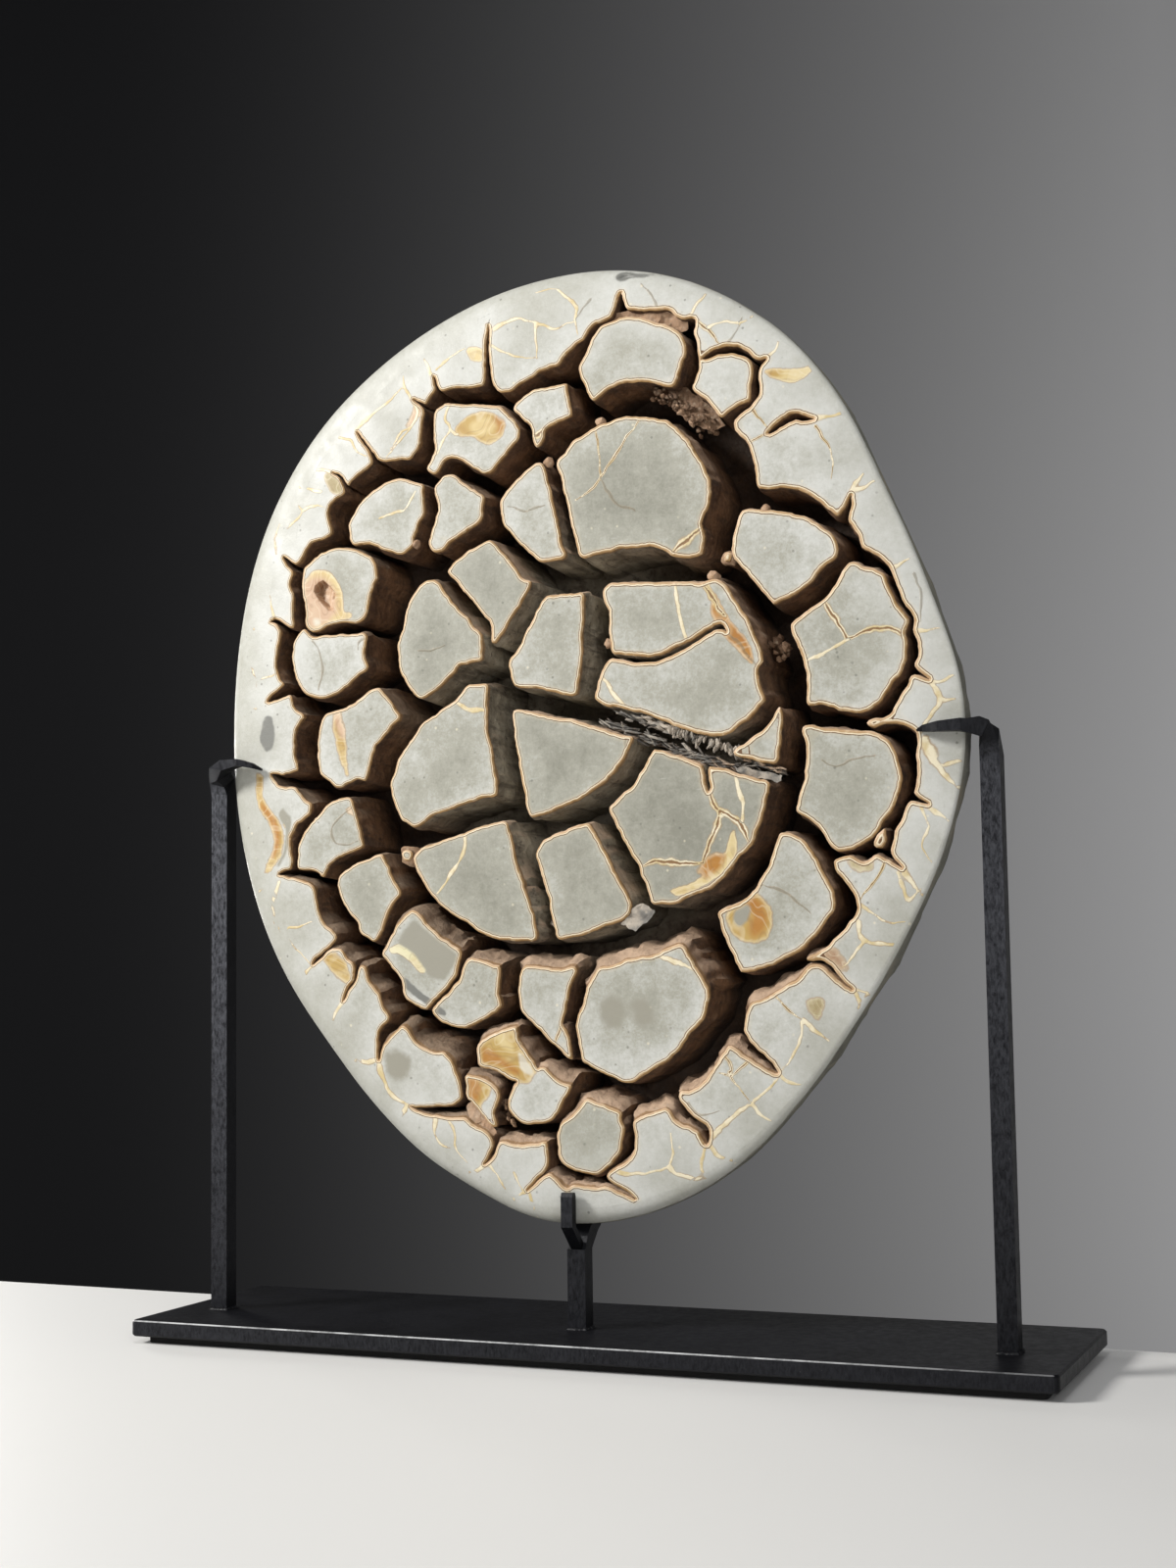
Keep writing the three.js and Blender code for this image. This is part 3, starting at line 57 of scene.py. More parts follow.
noise.seed_set(SEED)

# ------------------------------ the stone's main sizes, mm

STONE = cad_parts["stone"]
LOW, HIGH = (np.array(corner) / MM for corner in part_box("stone"))
FACE_Y = float(LOW[1])
CENTRE = (-3.0, 320.0)
RADII = (212.0, 253.0)

# Points nearer to each other than this are one point.
SAME = 0.02
# Spacing of the points along the cracks, over the face, and over the floor of the cracks.
CRACK_STEP = 1.9
FACE_STEP = 4.6
FLOOR_STEP = 5.5
# Spacing along a ledge's outline and over its top, and the same for a pit.
LEDGE_STEP, LEDGE_TOP_STEP = 1.6, 1.8
PIT_STEP, PIT_BOTTOM_STEP = 0.7, 1.3
# The least distance between the points that keep the face's edges and drawings sharp, and from them to
# the others.
FINE_GAP, COARSE_GAP = 0.42, 2.4

# Rows of points beside a cut edge, and how far the worn edge has dropped there: the calcite lining
# is rounded off, with a faint lip inside it.
EDGE_ROWS = (0.75, 1.4, 2.1, 3.3)
EDGE_DROP = 0.65
# How far the face falls off towards its rim, and over what width.
RIM_FALL = 1.6
RIM_REACH = 26.0

# Depths of the rows of points on the walls, below their worn edge; one more row ends under the floor.
WALL_DEPTHS = (1.2, 3.4, 7.0, 12.0, 19.0)
UNDER_FLOOR = 3.0
# How a wall leans out: rounded under its edge, then by a share of the depth; more on a rough slope.
WALL_ROUNDING, WALL_LEAN = 0.35, 0.035
SLOPE_LEAN, SLOPE_DEPTH = 0.50, 20.0
# Rough slopes: from what upward direction on, and below what height; full at the second value.
SLOPE_FACING, SLOPE_HEIGHT = (0.10, 0.75), (270.0, 238.0)
# Where the polish ends, by how far (-1 is all) a surface looks forwards, and how far behind the face
# the rind's roughness sets in.
RIND_FACING, RIND_ROUGH = (-0.42, -0.30), (3.0, 26.0)
# The radii tried for the room in a crack beside its wall.
ROOM_RADII = (0.8, 1.3, 2.0, 3.0, 4.5, 6.5, 9.0)
# How deep the floor of the cracks lies at the rim and in the middle.
FLOOR_SHALLOW = 16.0
FLOOR_DEEP = 52.0
# The depths between which the solid's flat places are ledges, and the smallest of these, in mm2.
LEDGE_DEPTHS = (0.5, 12.0)
LEDGE_AREA = 12.0

# Roughness, as layers of drift: size of the waves, height, seed.
CRACK_WAVES = ((9.0, 0.7, 1), (3.4, 0.55, 2))
VEIN_WAVES = ((7.0, 0.9, 3), (2.6, 0.35, 5))
VEIN_SWELL = (5.0, 1.0, 8)
PATCH_WAVES = ((9.0, 0.7, 11), (3.0, 0.35, 12))
EDGE_WEAR = (3.0, 1.0, 51)
PIT_BOTTOM = (3.0, 1.2, 21)
WALL_LUMPS = (4.5, 1.0, 2)
WALL_GRAIN = (1.7, 0.22, 9)
SLOPE_LUMPS = ((7.0, 1.8, 3), (2.6, 0.8, 4))
FLOOR_LUMPS = (16.0, 5.0, 4)
LEDGE_LUMPS = ((6.0, 1.6, 41), (2.2, 0.8, 42))
RIND_LUMPS = ((26.0, 2.0, 33), (8.0, 0.9, 34), (3.5, 0.35, 35))
RIND_WANDER = (22.0, 0.16, 31)
# How far the rind is sunk, so that its lumps stay within the solid.
RIND_SUNK = 1.3

# How far a painted patch or vein counts beyond its edge, in softnesses and in half widths.
PATCH_REACH = 4.0
VEIN_REACH = 2.2

# Pits sunk into the face: outline [x, z], depth on the left and on the right, how wide their walls are.
PITS = [
    {"outline": [(-151.2, 416.6), (-147.1, 413.0), (-143.5, 409.3), (-145.0, 398.5), (-148.0, 398.7),
                 (-153.3, 404.3), (-157.5, 410.5), (-157.1, 413.4), (-154.1, 415.8)],
     "left": 5.5, "right": 1.4, "wall": 1.3},
]

# Balls of calcite on the blocks' edges, their fronts level with the face: x, z, radius.
KNOBS = [
    (-14, 469, 2.9), (16.5, 487.5, 2.6), (86.5, 408, 4.2), (-100, 261, 5.6), (19, 368.5, 2.8),
    (107, 431.5, 2.6), (78, 399, 3.4), (-94.5, 432, 2.6),
]

# Crusts of small crystals in the cracks: the line they follow [x, z], the width of the strip, how far
# below the face it lies, the size and number of the crystals, and their tone (0 brown, 1 grey-white).
# Long crystals are stretched along the strip, or across it like the teeth of a comb.
CRUSTS = [
    {"line": [(17, 326.5), (34, 319.5), (50, 313), (66, 306.5), (82, 301), (98, 297.5)], "width": 4.5,
     "below": 6.5, "size": 1.7, "count": 150, "tone": 0.76, "stretch": 3.4},
    {"line": [(24, 332), (40, 326.5), (54, 321)], "width": 3.0, "below": 5.0, "size": 1.9, "count": 60,
     "tone": 0.92, "stretch": 2.6},
    {"line": [(54, 321.5), (62, 318), (76, 312.5), (90, 307)], "width": 3.6, "below": 3.4, "size": 1.25,
     "count": 130, "tone": 1.02, "stretch": 2.0, "across": True},
    {"line": [(88, 306), (101, 301), (112, 297)], "width": 2.6, "below": 4.6, "size": 1.2, "count": 70,
     "tone": 0.62, "stretch": 3.0},
    {"line": [(44, 503), (52, 499), (60, 493), (69, 486), (76, 479)], "width": 8.0, "below": 9.5,
     "size": 1.6, "count": 110, "tone": -0.02},
    {"line": [(58, 491), (64, 486), (72, 480)], "width": 4.0, "below": 7.0, "size": 1.5, "count": 24,
     "tone": 0.22},
    {"line": [(106, 366), (112, 361), (114, 356)], "width": 7.0, "below": 11.0, "size": 2.4, "count": 16,
     "tone": 0.1},
    {"line": [(-46, 130), (-44, 125), (-42, 119)], "width": 4.0, "below": 6.0, "size": 1.4, "count": 20,
     "tone": 0.1},
    {"line": [(22, 231), (12, 229), (0, 226), (-14, 225)], "width": 6.0, "below": 9.0, "size": 2.4,
     "count": 50, "tone": 0.85},
]

# The tone of the ledges, by how far out they lie: 0 at the middle of the face and 1 at its rim.
LEDGE_TONES = [(0.6, 0.86), (0.8, 0.12), (math.inf, 0.30)]
# The tones of the knobs, and of the border and the rim.
KNOB_TONE, BORDER_TONE = 0.28, 0.5

# ------------------------------ veins and patches of the face

CREAM, SEAM, FAINT = 0.0, 1.0, 0.5

# Calcite veins in the face: width, kind, then points [x, z]. CREAM is pale calcite, SEAM a brown
# line between two cream ones, FAINT a thin line hardly lighter than the stone.
VEINS = [
    (3.2, SEAM, (55.5, 412), (60, 416), (65, 419), (73, 424.5)),
    (1.1, SEAM, (15, 484.5), (15.5, 474), (16.5, 464), (16.5, 457)),
    (1.3, SEAM, (2, 446), (12, 452), (20, 461), (28, 472), (34, 479), (41, 488)),
    (1.0, FAINT, (16.5, 457), (24, 444), (36, 437)),
    (3.0, SEAM, (-14.5, 487.5), (-19, 484), (-22.5, 484.5)),
    (2.0, CREAM, (57.5, 397.5), (59, 388), (60.5, 378), (63.5, 367)),
    (2.6, SEAM, (73.5, 395.5), (78, 388), (84.5, 377)),
    (1.4, FAINT, (84, 371), (89, 366), (95, 359), (101, 350)),
    (1.8, CREAM, (15, 352), (20, 345), (25, 338.5), (30, 333)),
    (2.8, SEAM, (137.5, 381.5), (142, 374), (145, 369), (148, 364), (149, 360.5)),
    (2.6, SEAM, (150, 360.5), (157, 364), (163, 365.3), (170, 365), (175, 363), (179.5, 360.5)),
    (1.7, CREAM, (127.5, 351), (139, 356), (150, 360.5)),
    (2.2, CREAM, (-71.5, 343.5), (-62, 338.5), (-51, 337)),
    (1.4, FAINT, (28, 319), (29.5, 313), (30, 309)),
    (2.8, SEAM, (74.5, 287), (76.5, 281.5), (81, 277), (86, 273.8), (90, 272), (92, 268.5), (94, 264),
     (96, 260)),
    (3.0, SEAM, (80, 277.5), (77.5, 269.5), (74, 261.5), (70.5, 251.5)),
    (1.8, CREAM, (88, 296), (90.5, 287), (92.3, 280), (92, 272.5)),
    (2.8, SEAM, (37, 250.5), (44, 253.3), (50, 253), (60, 251.5), (70.5, 251)),
    (1.6, CREAM, (-65, 271.5), (-65, 264), (-69, 256), (-75, 248), (-82, 239.5)),
    (1.8, CREAM, (41, 204.3), (49, 203.2), (58, 200), (66, 196)),
    (1.6, SEAM, (-10, 169), (-12, 165), (-13.5, 160)),
    (2.6, SEAM, (-35.8, 166.5), (-34, 160.5), (-29, 154.5), (-25.5, 150.5)),
    (1.2, CREAM, (-116, 448), (-106, 450), (-99, 452), (-93, 461)),
    (1.0, FAINT, (-158, 383), (-154, 376), (-152, 366), (-155, 354)),
    (1.2, FAINT, (-122, 383), (-128, 380), (-130, 375)),
    (1.0, FAINT, (-134, 289), (-142, 283), (-147, 276), (-144, 270), (-136, 268), (-129, 271)),
    (1.4, CREAM, (-72, 507), (-74, 500), (-72, 493), (-76, 487), (-80.5, 480)),
    (1.3, CREAM, (-72, 493), (-66, 489)),
    (1.0, FAINT, (-38, 447), (-26, 444), (-15, 446)),
    (1.0, FAINT, (135, 300), (143, 297), (150, 300), (162, 302)),
    (0.9, FAINT, (99, 240), (112, 236), (126, 225)),
    (1.0, FAINT, (-92, 372), (-84, 372), (-76, 374)),
]

# The same round the border, clockwise from the top. Each starts at a crack and thins out from there.
BORDER_VEINS = [
    (1.1, CREAM, (29, 556), (29.5, 549), (31, 544)),
    (0.9, FAINT, (12, 554), (7, 549), (4, 543)),
    (1.1, CREAM, (4.5, 551), (-2, 558), (-10, 563.5), (-20, 563)),
    (1.0, CREAM, (4.5, 551), (4, 543), (5, 535)),
    (1.4, CREAM, (-45, 546), (-38, 548.5), (-30, 549.3), (-22, 547)),
    (0.9, CREAM, (-22, 547), (-16, 544), (-10, 541), (-2, 542.5), (4, 543)),
    (0.9, CREAM, (-47, 536.5), (-38, 532), (-28, 527.5), (-19.8, 526)),
    (0.9, CREAM, (-19.5, 545), (-19.8, 536), (-19.5, 526)),
    (1.2, CREAM, (-83, 525), (-86, 531), (-89, 537)),
    (1.0, CREAM, (-80, 527), (-72, 533), (-62, 537)),
    (1.2, CREAM, (-95, 513), (-99, 519), (-101, 528)),
    (1.4, CREAM, (-131, 500), (-122, 506), (-112, 512), (-101, 520)),
    (1.1, CREAM, (-95, 513), (-92, 504), (-97, 496), (-105, 488), (-112, 480)),
    (0.9, CREAM, (-97, 497), (-103, 494), (-108, 486)),
    (0.9, CREAM, (-142, 497), (-134, 494), (-130, 487), (-124, 484)),
    (1.2, CREAM, (-147, 477.5), (-153, 479), (-159, 480)),
    (1.0, CREAM, (-153, 467), (-161, 469), (-169, 472)),
    (1.2, CREAM, (-182, 435), (-184, 443), (-181, 452)),
    (1.1, CREAM, (-176, 449), (-170, 452), (-165, 457), (-170, 462), (-175, 464)),
    (1.1, CREAM, (-165, 457), (-158, 459), (-148, 457)),
    (1.0, CREAM, (-193, 395), (-199, 392.5), (-206, 386)),
    (1.0, CREAM, (-184, 397), (-186, 406), (-188, 414)),
    (1.1, CREAM, (-196, 347), (-202, 345.5), (-209, 340)),
    (0.9, CREAM, (-199, 372), (-197, 362), (-194, 355)),
    (0.9, CREAM, (-199, 366), (-190, 364), (-182, 366)),
    (1.1, CREAM, (-188, 250), (-193, 246), (-199, 241)),
    (1.1, CREAM, (-181, 249), (-185, 238), (-185, 228), (-180, 221), (-170, 212), (-160, 203)),
    (1.0, CREAM, (-180, 222), (-170, 224), (-160, 226)),
    (1.2, CREAM, (-160, 202), (-166, 197), (-171, 194)),
    (1.2, CREAM, (-141, 182), (-146, 175), (-148, 168)),
    (1.8, CREAM, (-119, 151), (-126, 150), (-135, 151.5)),
    (1.8, CREAM, (-119, 150.5), (-116, 142), (-112, 134), (-107, 130), (-100, 126.5)),
    (1.4, CREAM, (-101, 127), (-105, 122), (-109, 119)),
    (1.2, CREAM, (-84, 122), (-84.5, 113), (-82, 107), (-77, 105)),
    (0.9, CREAM, (-77, 121), (-73, 113), (-72, 104), (-66, 97)),
    (1.2, CREAM, (-56.5, 96), (-63, 92.5), (-70, 92)),
    (0.9, CREAM, (-53, 97), (-48, 90), (-43, 82)),
    (1.2, CREAM, (-32, 83), (-38, 80), (-42, 75)),
    (0.9, CREAM, (-30, 82.5), (-28, 77), (-28, 71)),
    (0.9, CREAM, (-38, 93), (-36, 88), (-34, 84)),
    (1.1, CREAM, (-8, 85), (-8, 79), (-7, 73)),
    (1.1, CREAM, (30, 80), (32, 76), (32.5, 71)),
    (1.2, CREAM, (20, 95), (30, 93.5), (40, 95), (48, 98), (51, 106), (50, 115)),
    (1.5, CREAM, (48, 98), (52, 94), (60, 92), (68, 92)),
    (1.5, CREAM, (68, 108), (66, 101), (67, 94), (70, 90)),
    (1.5, CREAM, (71, 108), (75, 104), (82, 101)),
    (0.9, FAINT, (60, 130), (66, 124), (76, 126)),
    (1.0, SEAM, (80, 154), (84, 147), (83, 143.5), (93, 131)),
    (1.0, SEAM, (94, 152), (88, 147.5), (83, 143.5), (76, 146)),
    (1.6, CREAM, (72, 114), (79, 119), (85, 124.5), (93, 130), (103, 137), (108, 143)),
    (1.2, CREAM, (93, 130), (98, 125), (103, 121)),
    (1.5, CREAM, (108, 144.5), (113, 141), (120, 138.5)),
    (1.1, SEAM, (106, 184), (113, 177.5), (121, 171.5)),
    (1.4, CREAM, (121, 171.5), (128, 166), (135, 160)),
    (1.1, CREAM, (121, 171), (119, 160), (114, 151), (108, 145.5)),
    (1.4, CREAM, (148, 186), (150, 180), (149, 176)),
    (1.2, CREAM, (148, 186), (153, 185), (158, 183)),
    (1.6, CREAM, (151, 220), (152, 213), (155, 209.5), (162, 208.5), (170, 208)),
    (1.1, CREAM, (154, 210), (148, 203), (142, 197)),
    (0.9, CREAM, (150, 229), (158, 224), (166, 219), (176, 219)),
    (1.1, SEAM, (166, 250), (161, 241), (154, 233), (150, 228)),
    (1.8, CREAM, (174, 245), (178, 239), (183, 232)),
    (1.6, CREAM, (172, 243), (174, 236), (176, 230), (183, 235)),
    (1.5, CREAM, (188, 276), (192, 272), (197, 268)),
    (1.0, CREAM, (184, 276), (187, 266), (184, 256), (189, 247)),
    (3.0, CREAM, (186, 309), (191, 299), (196, 291), (203, 284)),
    (1.2, CREAM, (197, 296), (202, 297), (206, 298)),
    (2.0, CREAM, (191, 337), (195, 328), (190, 319), (185, 312)),
    (1.4, CREAM, (190, 337), (196, 337), (203, 340)),
    (1.2, CREAM, (195, 328), (199, 327), (206, 328)),
    (1.2, CREAM, (182, 363), (188, 362.5), (196, 363.5)),
    (1.4, CREAM, (172, 394), (178, 397.5), (184, 400)),
    (1.0, FAINT, (184, 392), (187, 380), (186, 366)),
    (1.5, CREAM, (153, 435.5), (156, 440), (160, 445)),
    (1.1, CREAM, (155, 436), (161, 437.5), (166, 441)),
    (1.6, CREAM, (135.5, 475), (143, 475.5), (152, 477.5)),
    (1.4, SEAM, (99.5, 466.5), (103, 468), (108, 469.8)),
    (1.2, SEAM, (100, 486), (106, 478), (110, 472)),
    (0.9, SEAM, (135, 471), (141, 462), (144, 452), (143, 443)),
    (1.1, CREAM, (110.5, 510), (115, 515), (117, 521)),
    (1.6, SEAM, (73, 534), (79, 528), (85, 520)),
    (1.1, CREAM, (68, 537), (72, 543), (77, 549)),
    (0.9, CREAM, (78, 530), (88, 532), (97, 530), (103, 534)),
    (0.9, FAINT, (88, 520), (94, 527), (97, 536)),
    (0.9, FAINT, (50, 545), (46, 553), (40, 560)),
]

AMBER = (0.37, 0.165, 0.026)
TAN = (0.31, 0.175, 0.095)
GOLD = (0.43, 0.290, 0.088)
PALE_GOLD = (0.56, 0.44, 0.210)
PEACH = (0.50, 0.335, 0.220)
CALCITE = (0.58, 0.54, 0.440)
STREAK = (0.62, 0.58, 0.370)
GREY = (0.155, 0.155, 0.140)
MID_GREY = (0.270, 0.258, 0.210)
OCHRE = (0.31, 0.25, 0.120)

# Patches of other colour in the face: colour, softness of the edge in mm, then the outline [x, z].
# A later patch covers an earlier one.
PATCHES = [
    (GOLD, 1.0, (-68.8, 491.7), (-66.7, 495.5), (-59, 500), (-52, 500.6), (-44.5, 498.4), (-39.2, 494),
     (-38, 491), (-40.2, 485.7), (-44.6, 483), (-49, 482), (-53.4, 484), (-59.3, 488), (-65.3, 488)),
    (PALE_GOLD, 1.6, (-60, 494), (-55, 496.6), (-47.4, 496.5), (-43, 493), (-46, 489), (-52, 487),
     (-58, 489.7)),
    (AMBER, 2.0, (-44, 498), (-40, 494.5), (-39, 490), (-41.5, 486), (-43.5, 487), (-41.8, 491),
     (-43.5, 495)),
    (GREY, 0.9, (25, 564), (28.5, 567.5), (34, 568), (37, 565.5), (43, 564.6), (50, 563.6), (42, 562.4),
     (34, 563), (28.5, 561.5)),
    (OCHRE, 0.8, (-151, 476), (-148, 477.5), (-143, 475), (-139, 470.5), (-138, 466.2), (-140, 463),
     (-145.4, 465.5), (-149.4, 470)),
    (PALE_GOLD, 0.8, (-62, 536), (-59, 538), (-54.3, 537), (-50.5, 534.4), (-49.4, 530.2), (-53, 528),
     (-58, 529.4), (-60.3, 533)),
    (PALE_GOLD, 1.0, (-163.5, 416), (-159, 421), (-155.8, 422.6), (-147.4, 420.7), (-141.7, 414.3),
     (-139.2, 409), (-139, 397.2), (-133, 396.7), (-133.5, 394), (-146, 391.9), (-156.8, 388.2),
     (-162.6, 391.7), (-163, 402)),
    (PEACH, 2.4, (-164, 416), (-159, 419), (-152, 418.5), (-146, 414), (-143, 409), (-142.8, 397),
     (-147, 393), (-156.8, 389), (-162.6, 391.7), (-163, 402)),
    (CALCITE, 1.2, (-158, 395.5), (-153.4, 395), (-152.6, 391.7), (-156.3, 390.5)),
    (TAN, 0.7, (-151.2, 416.6), (-149, 414.5), (-152, 411), (-151.5, 405.5), (-147.5, 399), (-153.3, 404.3),
     (-157.5, 410.5), (-157.1, 413.4), (-154.1, 415.8)),
    (PALE_GOLD, 0.9, (108, 502.8), (113, 504), (119.3, 503), (127, 502.5), (134, 503), (135, 501.5),
     (131, 498.2), (125.7, 495.5), (121.7, 495), (116.6, 497.4), (111.3, 499.3)),
    (GOLD, 1.2, (109, 502), (114, 502.5), (119, 500.5), (116, 498.5), (111.5, 499.6)),
    (GOLD, 1.2, (-145.5, 339), (-141.5, 340), (-138.5, 332), (-137.7, 323.4), (-136.8, 312.5),
     (-135.6, 305.5), (-137.7, 307), (-140.8, 315.4), (-143.8, 326.5), (-146, 335)),
    (PEACH, 1.6, (-145, 341), (-141, 341.5), (-138.6, 333), (-138, 326), (-141.5, 328), (-144, 334)),
    (GREY, 1.0, (-190, 343), (-184.6, 342.5), (-183, 334), (-184.6, 323), (-189.4, 322), (-194, 329.3),
     (-192, 337.4)),
    (GOLD, 1.0, (-196.7, 311.4), (-192, 310.4), (-191, 304), (-192, 297.4), (-187.8, 290.3),
     (-181.5, 284.6), (-177.4, 277.6), (-177.4, 270.8), (-180, 262.7), (-184.7, 257.4), (-188.8, 253.4),
     (-192, 255), (-189.4, 260.2), (-184.7, 265.6), (-183.7, 272.4), (-186.2, 279.3), (-189.4, 285),
     (-194.2, 290.6), (-196.4, 301.7)),
    (AMBER, 1.2, (-193, 296), (-189, 291), (-183, 285.5), (-179.5, 278), (-180, 269), (-184, 262),
     (-187, 262), (-183.5, 270), (-184.5, 278), (-189, 286), (-193, 291)),
    (MID_GREY, 1.0, (-178, 291), (-172, 284), (-174, 268), (-180, 258.5), (-183, 256.5), (-178.5, 264),
     (-176, 272), (-176, 279), (-181, 287)),
    (AMBER, 1.0, (79, 391), (83.6, 382), (88.7, 373), (95.2, 366), (98.8, 359.3), (99.6, 351.4),
     (95.6, 354.4), (91, 359.8), (86, 365.2), (81, 372), (77, 380)),
    (PALE_GOLD, 0.8, (72.5, 395.5), (76, 396), (80, 387), (84, 378.5), (82.5, 377.5), (78.5, 384)),
    (PALE_GOLD, 0.8, (51.5, 238), (63, 240.5), (71, 244.5), (77.5, 250.5), (82.5, 257), (85, 264),
     (87.5, 268.5), (88.8, 260.5), (87.3, 253), (81.5, 246), (73.5, 241), (64.5, 236.6), (54.3, 234.4)),
    (AMBER, 1.6, (66.5, 247), (72, 253.5), (79, 256.5), (83.5, 255), (79.5, 248), (72.5, 242.5)),
    (GOLD, 1.2, (82.9, 226.4), (87, 230), (92.3, 234.8), (96.3, 237.2), (102.6, 232), (106.4, 225.8),
     (107, 218.4), (103.5, 212.3), (97, 210), (90.5, 211), (85.3, 215.2), (82.8, 221.4)),
    (AMBER, 2.2, (91, 232), (97, 234.5), (102.5, 229.5), (104.5, 222), (102, 215.5), (96.5, 212.8),
     (93.5, 217), (96.5, 224)),
    (MID_GREY, 0.9, (86.4, 226.5), (91, 229.3), (94.6, 229.6), (95.3, 226), (93.3, 221), (89.3, 218.3),
     (86, 220.8)),
    (MID_GREY, 1.4, (-96, 226), (-83.5, 217), (-70, 207), (-72.7, 199), (-78, 193.5), (-86.7, 194.6),
     (-91.5, 200), (-97.3, 208), (-106, 212), (-104, 218.5)),
    (STREAK, 0.8, (-111.5, 211), (-107, 212.8), (-102, 211.5), (-97, 208.3), (-93, 203.8), (-88.6, 199),
     (-90.2, 197), (-93.8, 198.8), (-97, 202.3), (-101.5, 206), (-106.3, 208.2), (-110.5, 208)),
    (GREY, 0.7, (-104.3, 196), (-101, 194.8), (-89.7, 185.6), (-76.8, 177), (-77.2, 174.3), (-82.8, 175.7),
     (-90.9, 181.8), (-101.6, 189.3)),
    (GOLD, 1.2, (-152.7, 208), (-144.3, 209.6), (-138.2, 203.6), (-135.2, 195.6), (-136.8, 191.6),
     (-141.3, 194.3), (-147.5, 199.8), (-152, 205.2)),
    (GOLD, 1.5, (-60, 151), (-60, 160), (-50, 166), (-38, 170), (-34, 166), (-33, 158), (-27, 152),
     (-24, 146), (-30, 139), (-42, 139), (-50, 145)),
    (AMBER, 1.6, (-57, 150), (-50, 150), (-43, 147), (-37, 143), (-33, 144.5), (-37, 148), (-44, 151.5),
     (-49, 156), (-55, 158)),
    (PALE_GOLD, 1.2, (-49, 163), (-44, 158), (-38, 155), (-37, 159), (-42, 162), (-44, 166.5)),
    (CALCITE, 0.8, (-35.6, 156), (-32.8, 154.6), (-27.2, 148.3), (-25.9, 143.2), (-30, 143), (-34.3, 147)),
    (GOLD, 1.4, (-67.5, 144), (-58.6, 144), (-51.5, 137), (-53, 131.5), (-57.4, 127.6), (-56, 121.2),
     (-48.5, 114.5), (-60.3, 119), (-68, 131.4)),
    (AMBER, 1.4, (-65, 142), (-59, 141.5), (-56, 136), (-59, 130), (-62, 129.5), (-65, 134)),
    (MID_GREY, 3.0, (-115.8, 156), (-107, 157), (-99.5, 153.2), (-97.4, 148), (-101, 141.5),
     (-108.5, 139.3), (-114.4, 144)),
    (MID_GREY, 3.0, (10.8, 180), (17.8, 184.4), (24.6, 182.3), (27.2, 175), (24.3, 168), (16, 167.3),
     (11.3, 172.3)),
    (MID_GREY, 3.2, (28.7, 182.3), (35.5, 183.5), (41.3, 178.4), (42, 171), (36.5, 167.2), (30.4, 171)),
    (OCHRE, 1.4, (123.2, 181.5), (128.3, 182.7), (132.6, 181), (132, 176), (129.3, 170.6), (125.6, 173.8)),
    (TAN, 1.8, (131, 209), (138, 207), (143, 201), (145, 195), (140, 196.4), (134, 200)),
    (OCHRE, 1.6, (147, 251.8), (153, 249), (159, 252), (159, 246), (152, 244), (148, 246)),
    (PEACH, 1.4, (-92, 512), (-86, 510), (-88, 503), (-91, 503), (-95, 498), (-99, 497), (-95, 504)),
    (PEACH, 1.6, (-138, 288), (-130, 291), (-131, 284), (-137, 286)),
]

# Blocks that are darker or lighter than most, which lie between 0 and 1: a place on each, [x, z], and
# its tone. This is partly their own tone and partly painted shade: the darker ones on the right and low
# down stand for the shade where less of the light from the left falls.
BLOCK_TONES_AND_SHADE = [
    ((50, 280), -0.6), ((150, 290), -0.4), ((150, 345), 0.1), ((5, 110), -0.5), ((35, 520), 0.0),
    ((-25, 440), 1.2), ((35, 385), 1.1), ((-80, 310), 0.8), ((-10, 370), 0.9), ((30, 190), 0.8),
]

# ------------------------------ small helpers

# How far apart the drifts of two seeds lie, along each axis.
SEED_SHIFTS = (13.7, 5.1, 9.3)
# Shares in which a point of a smoothed loop is mixed from its neighbours and itself.
SMOOTHING = (0.25, 0.5, 0.25)


def smoothstep(low, high, value):
    share = np.clip((value - low) / (high - low), 0.0, 1.0)
    return share * share * (3.0 - 2.0 * share)


def length(rows):
    return np.hypot(rows[..., 0], rows[..., 1])


def to_space(points, y):
    """Points [x, z] stood up at the depth y."""
    return np.c_[points[:, 0], np.broadcast_to(y, len(points)), points[:, 1]]


def drift(points, size, height, seed):
    """A smooth random shift for each point [x, y, z] or [x, z]: neighbours move together."""
    if points.shape[1] == 2:
        return drift(to_space(points, 0.0), size, height, seed)[:, [0, 2]]
    shift = Vector([seed * away for away in SEED_SHIFTS])
    return np.array([noise.noise_vector(Vector(p) / size + shift) for p in points]) * height


def roughened(points, *layers):
    """The points with layers of drift added."""
    return sum((drift(points, *layer) for layer in layers), points)


def out_from_middle(points):
    """0 for points [x, z] at the middle of the face, 1 at its rim."""
    return length((points - CENTRE) / RADII)


def signed_area(loop):
    x, z = loop.T
    return 0.5 * float(np.sum(x * np.roll(z, -1) - np.roll(x, -1) * z))


def anticlockwise(loop):
    return loop if signed_area(loop) > 0 else loop[::-1]


def smoothed(loop):
    before, own, after = SMOOTHING
    return before * np.roll(loop, 1, axis=0) + own * loop + after * np.roll(loop, -1, axis=0)


def resample(loop, step):
    """A closed loop with evenly spaced points."""
    loop = np.array(loop, float)
    closed = np.vstack([loop, loop[:1]])
    along = np.r_[0, np.cumsum(length(np.diff(closed, axis=0)))]
    count = max(10, round(along[-1] / step))
    at = np.linspace(0, along[-1], count, endpoint=False)
    return np.c_[np.interp(at, along, closed[:, 0]), np.interp(at, along, closed[:, 1])]


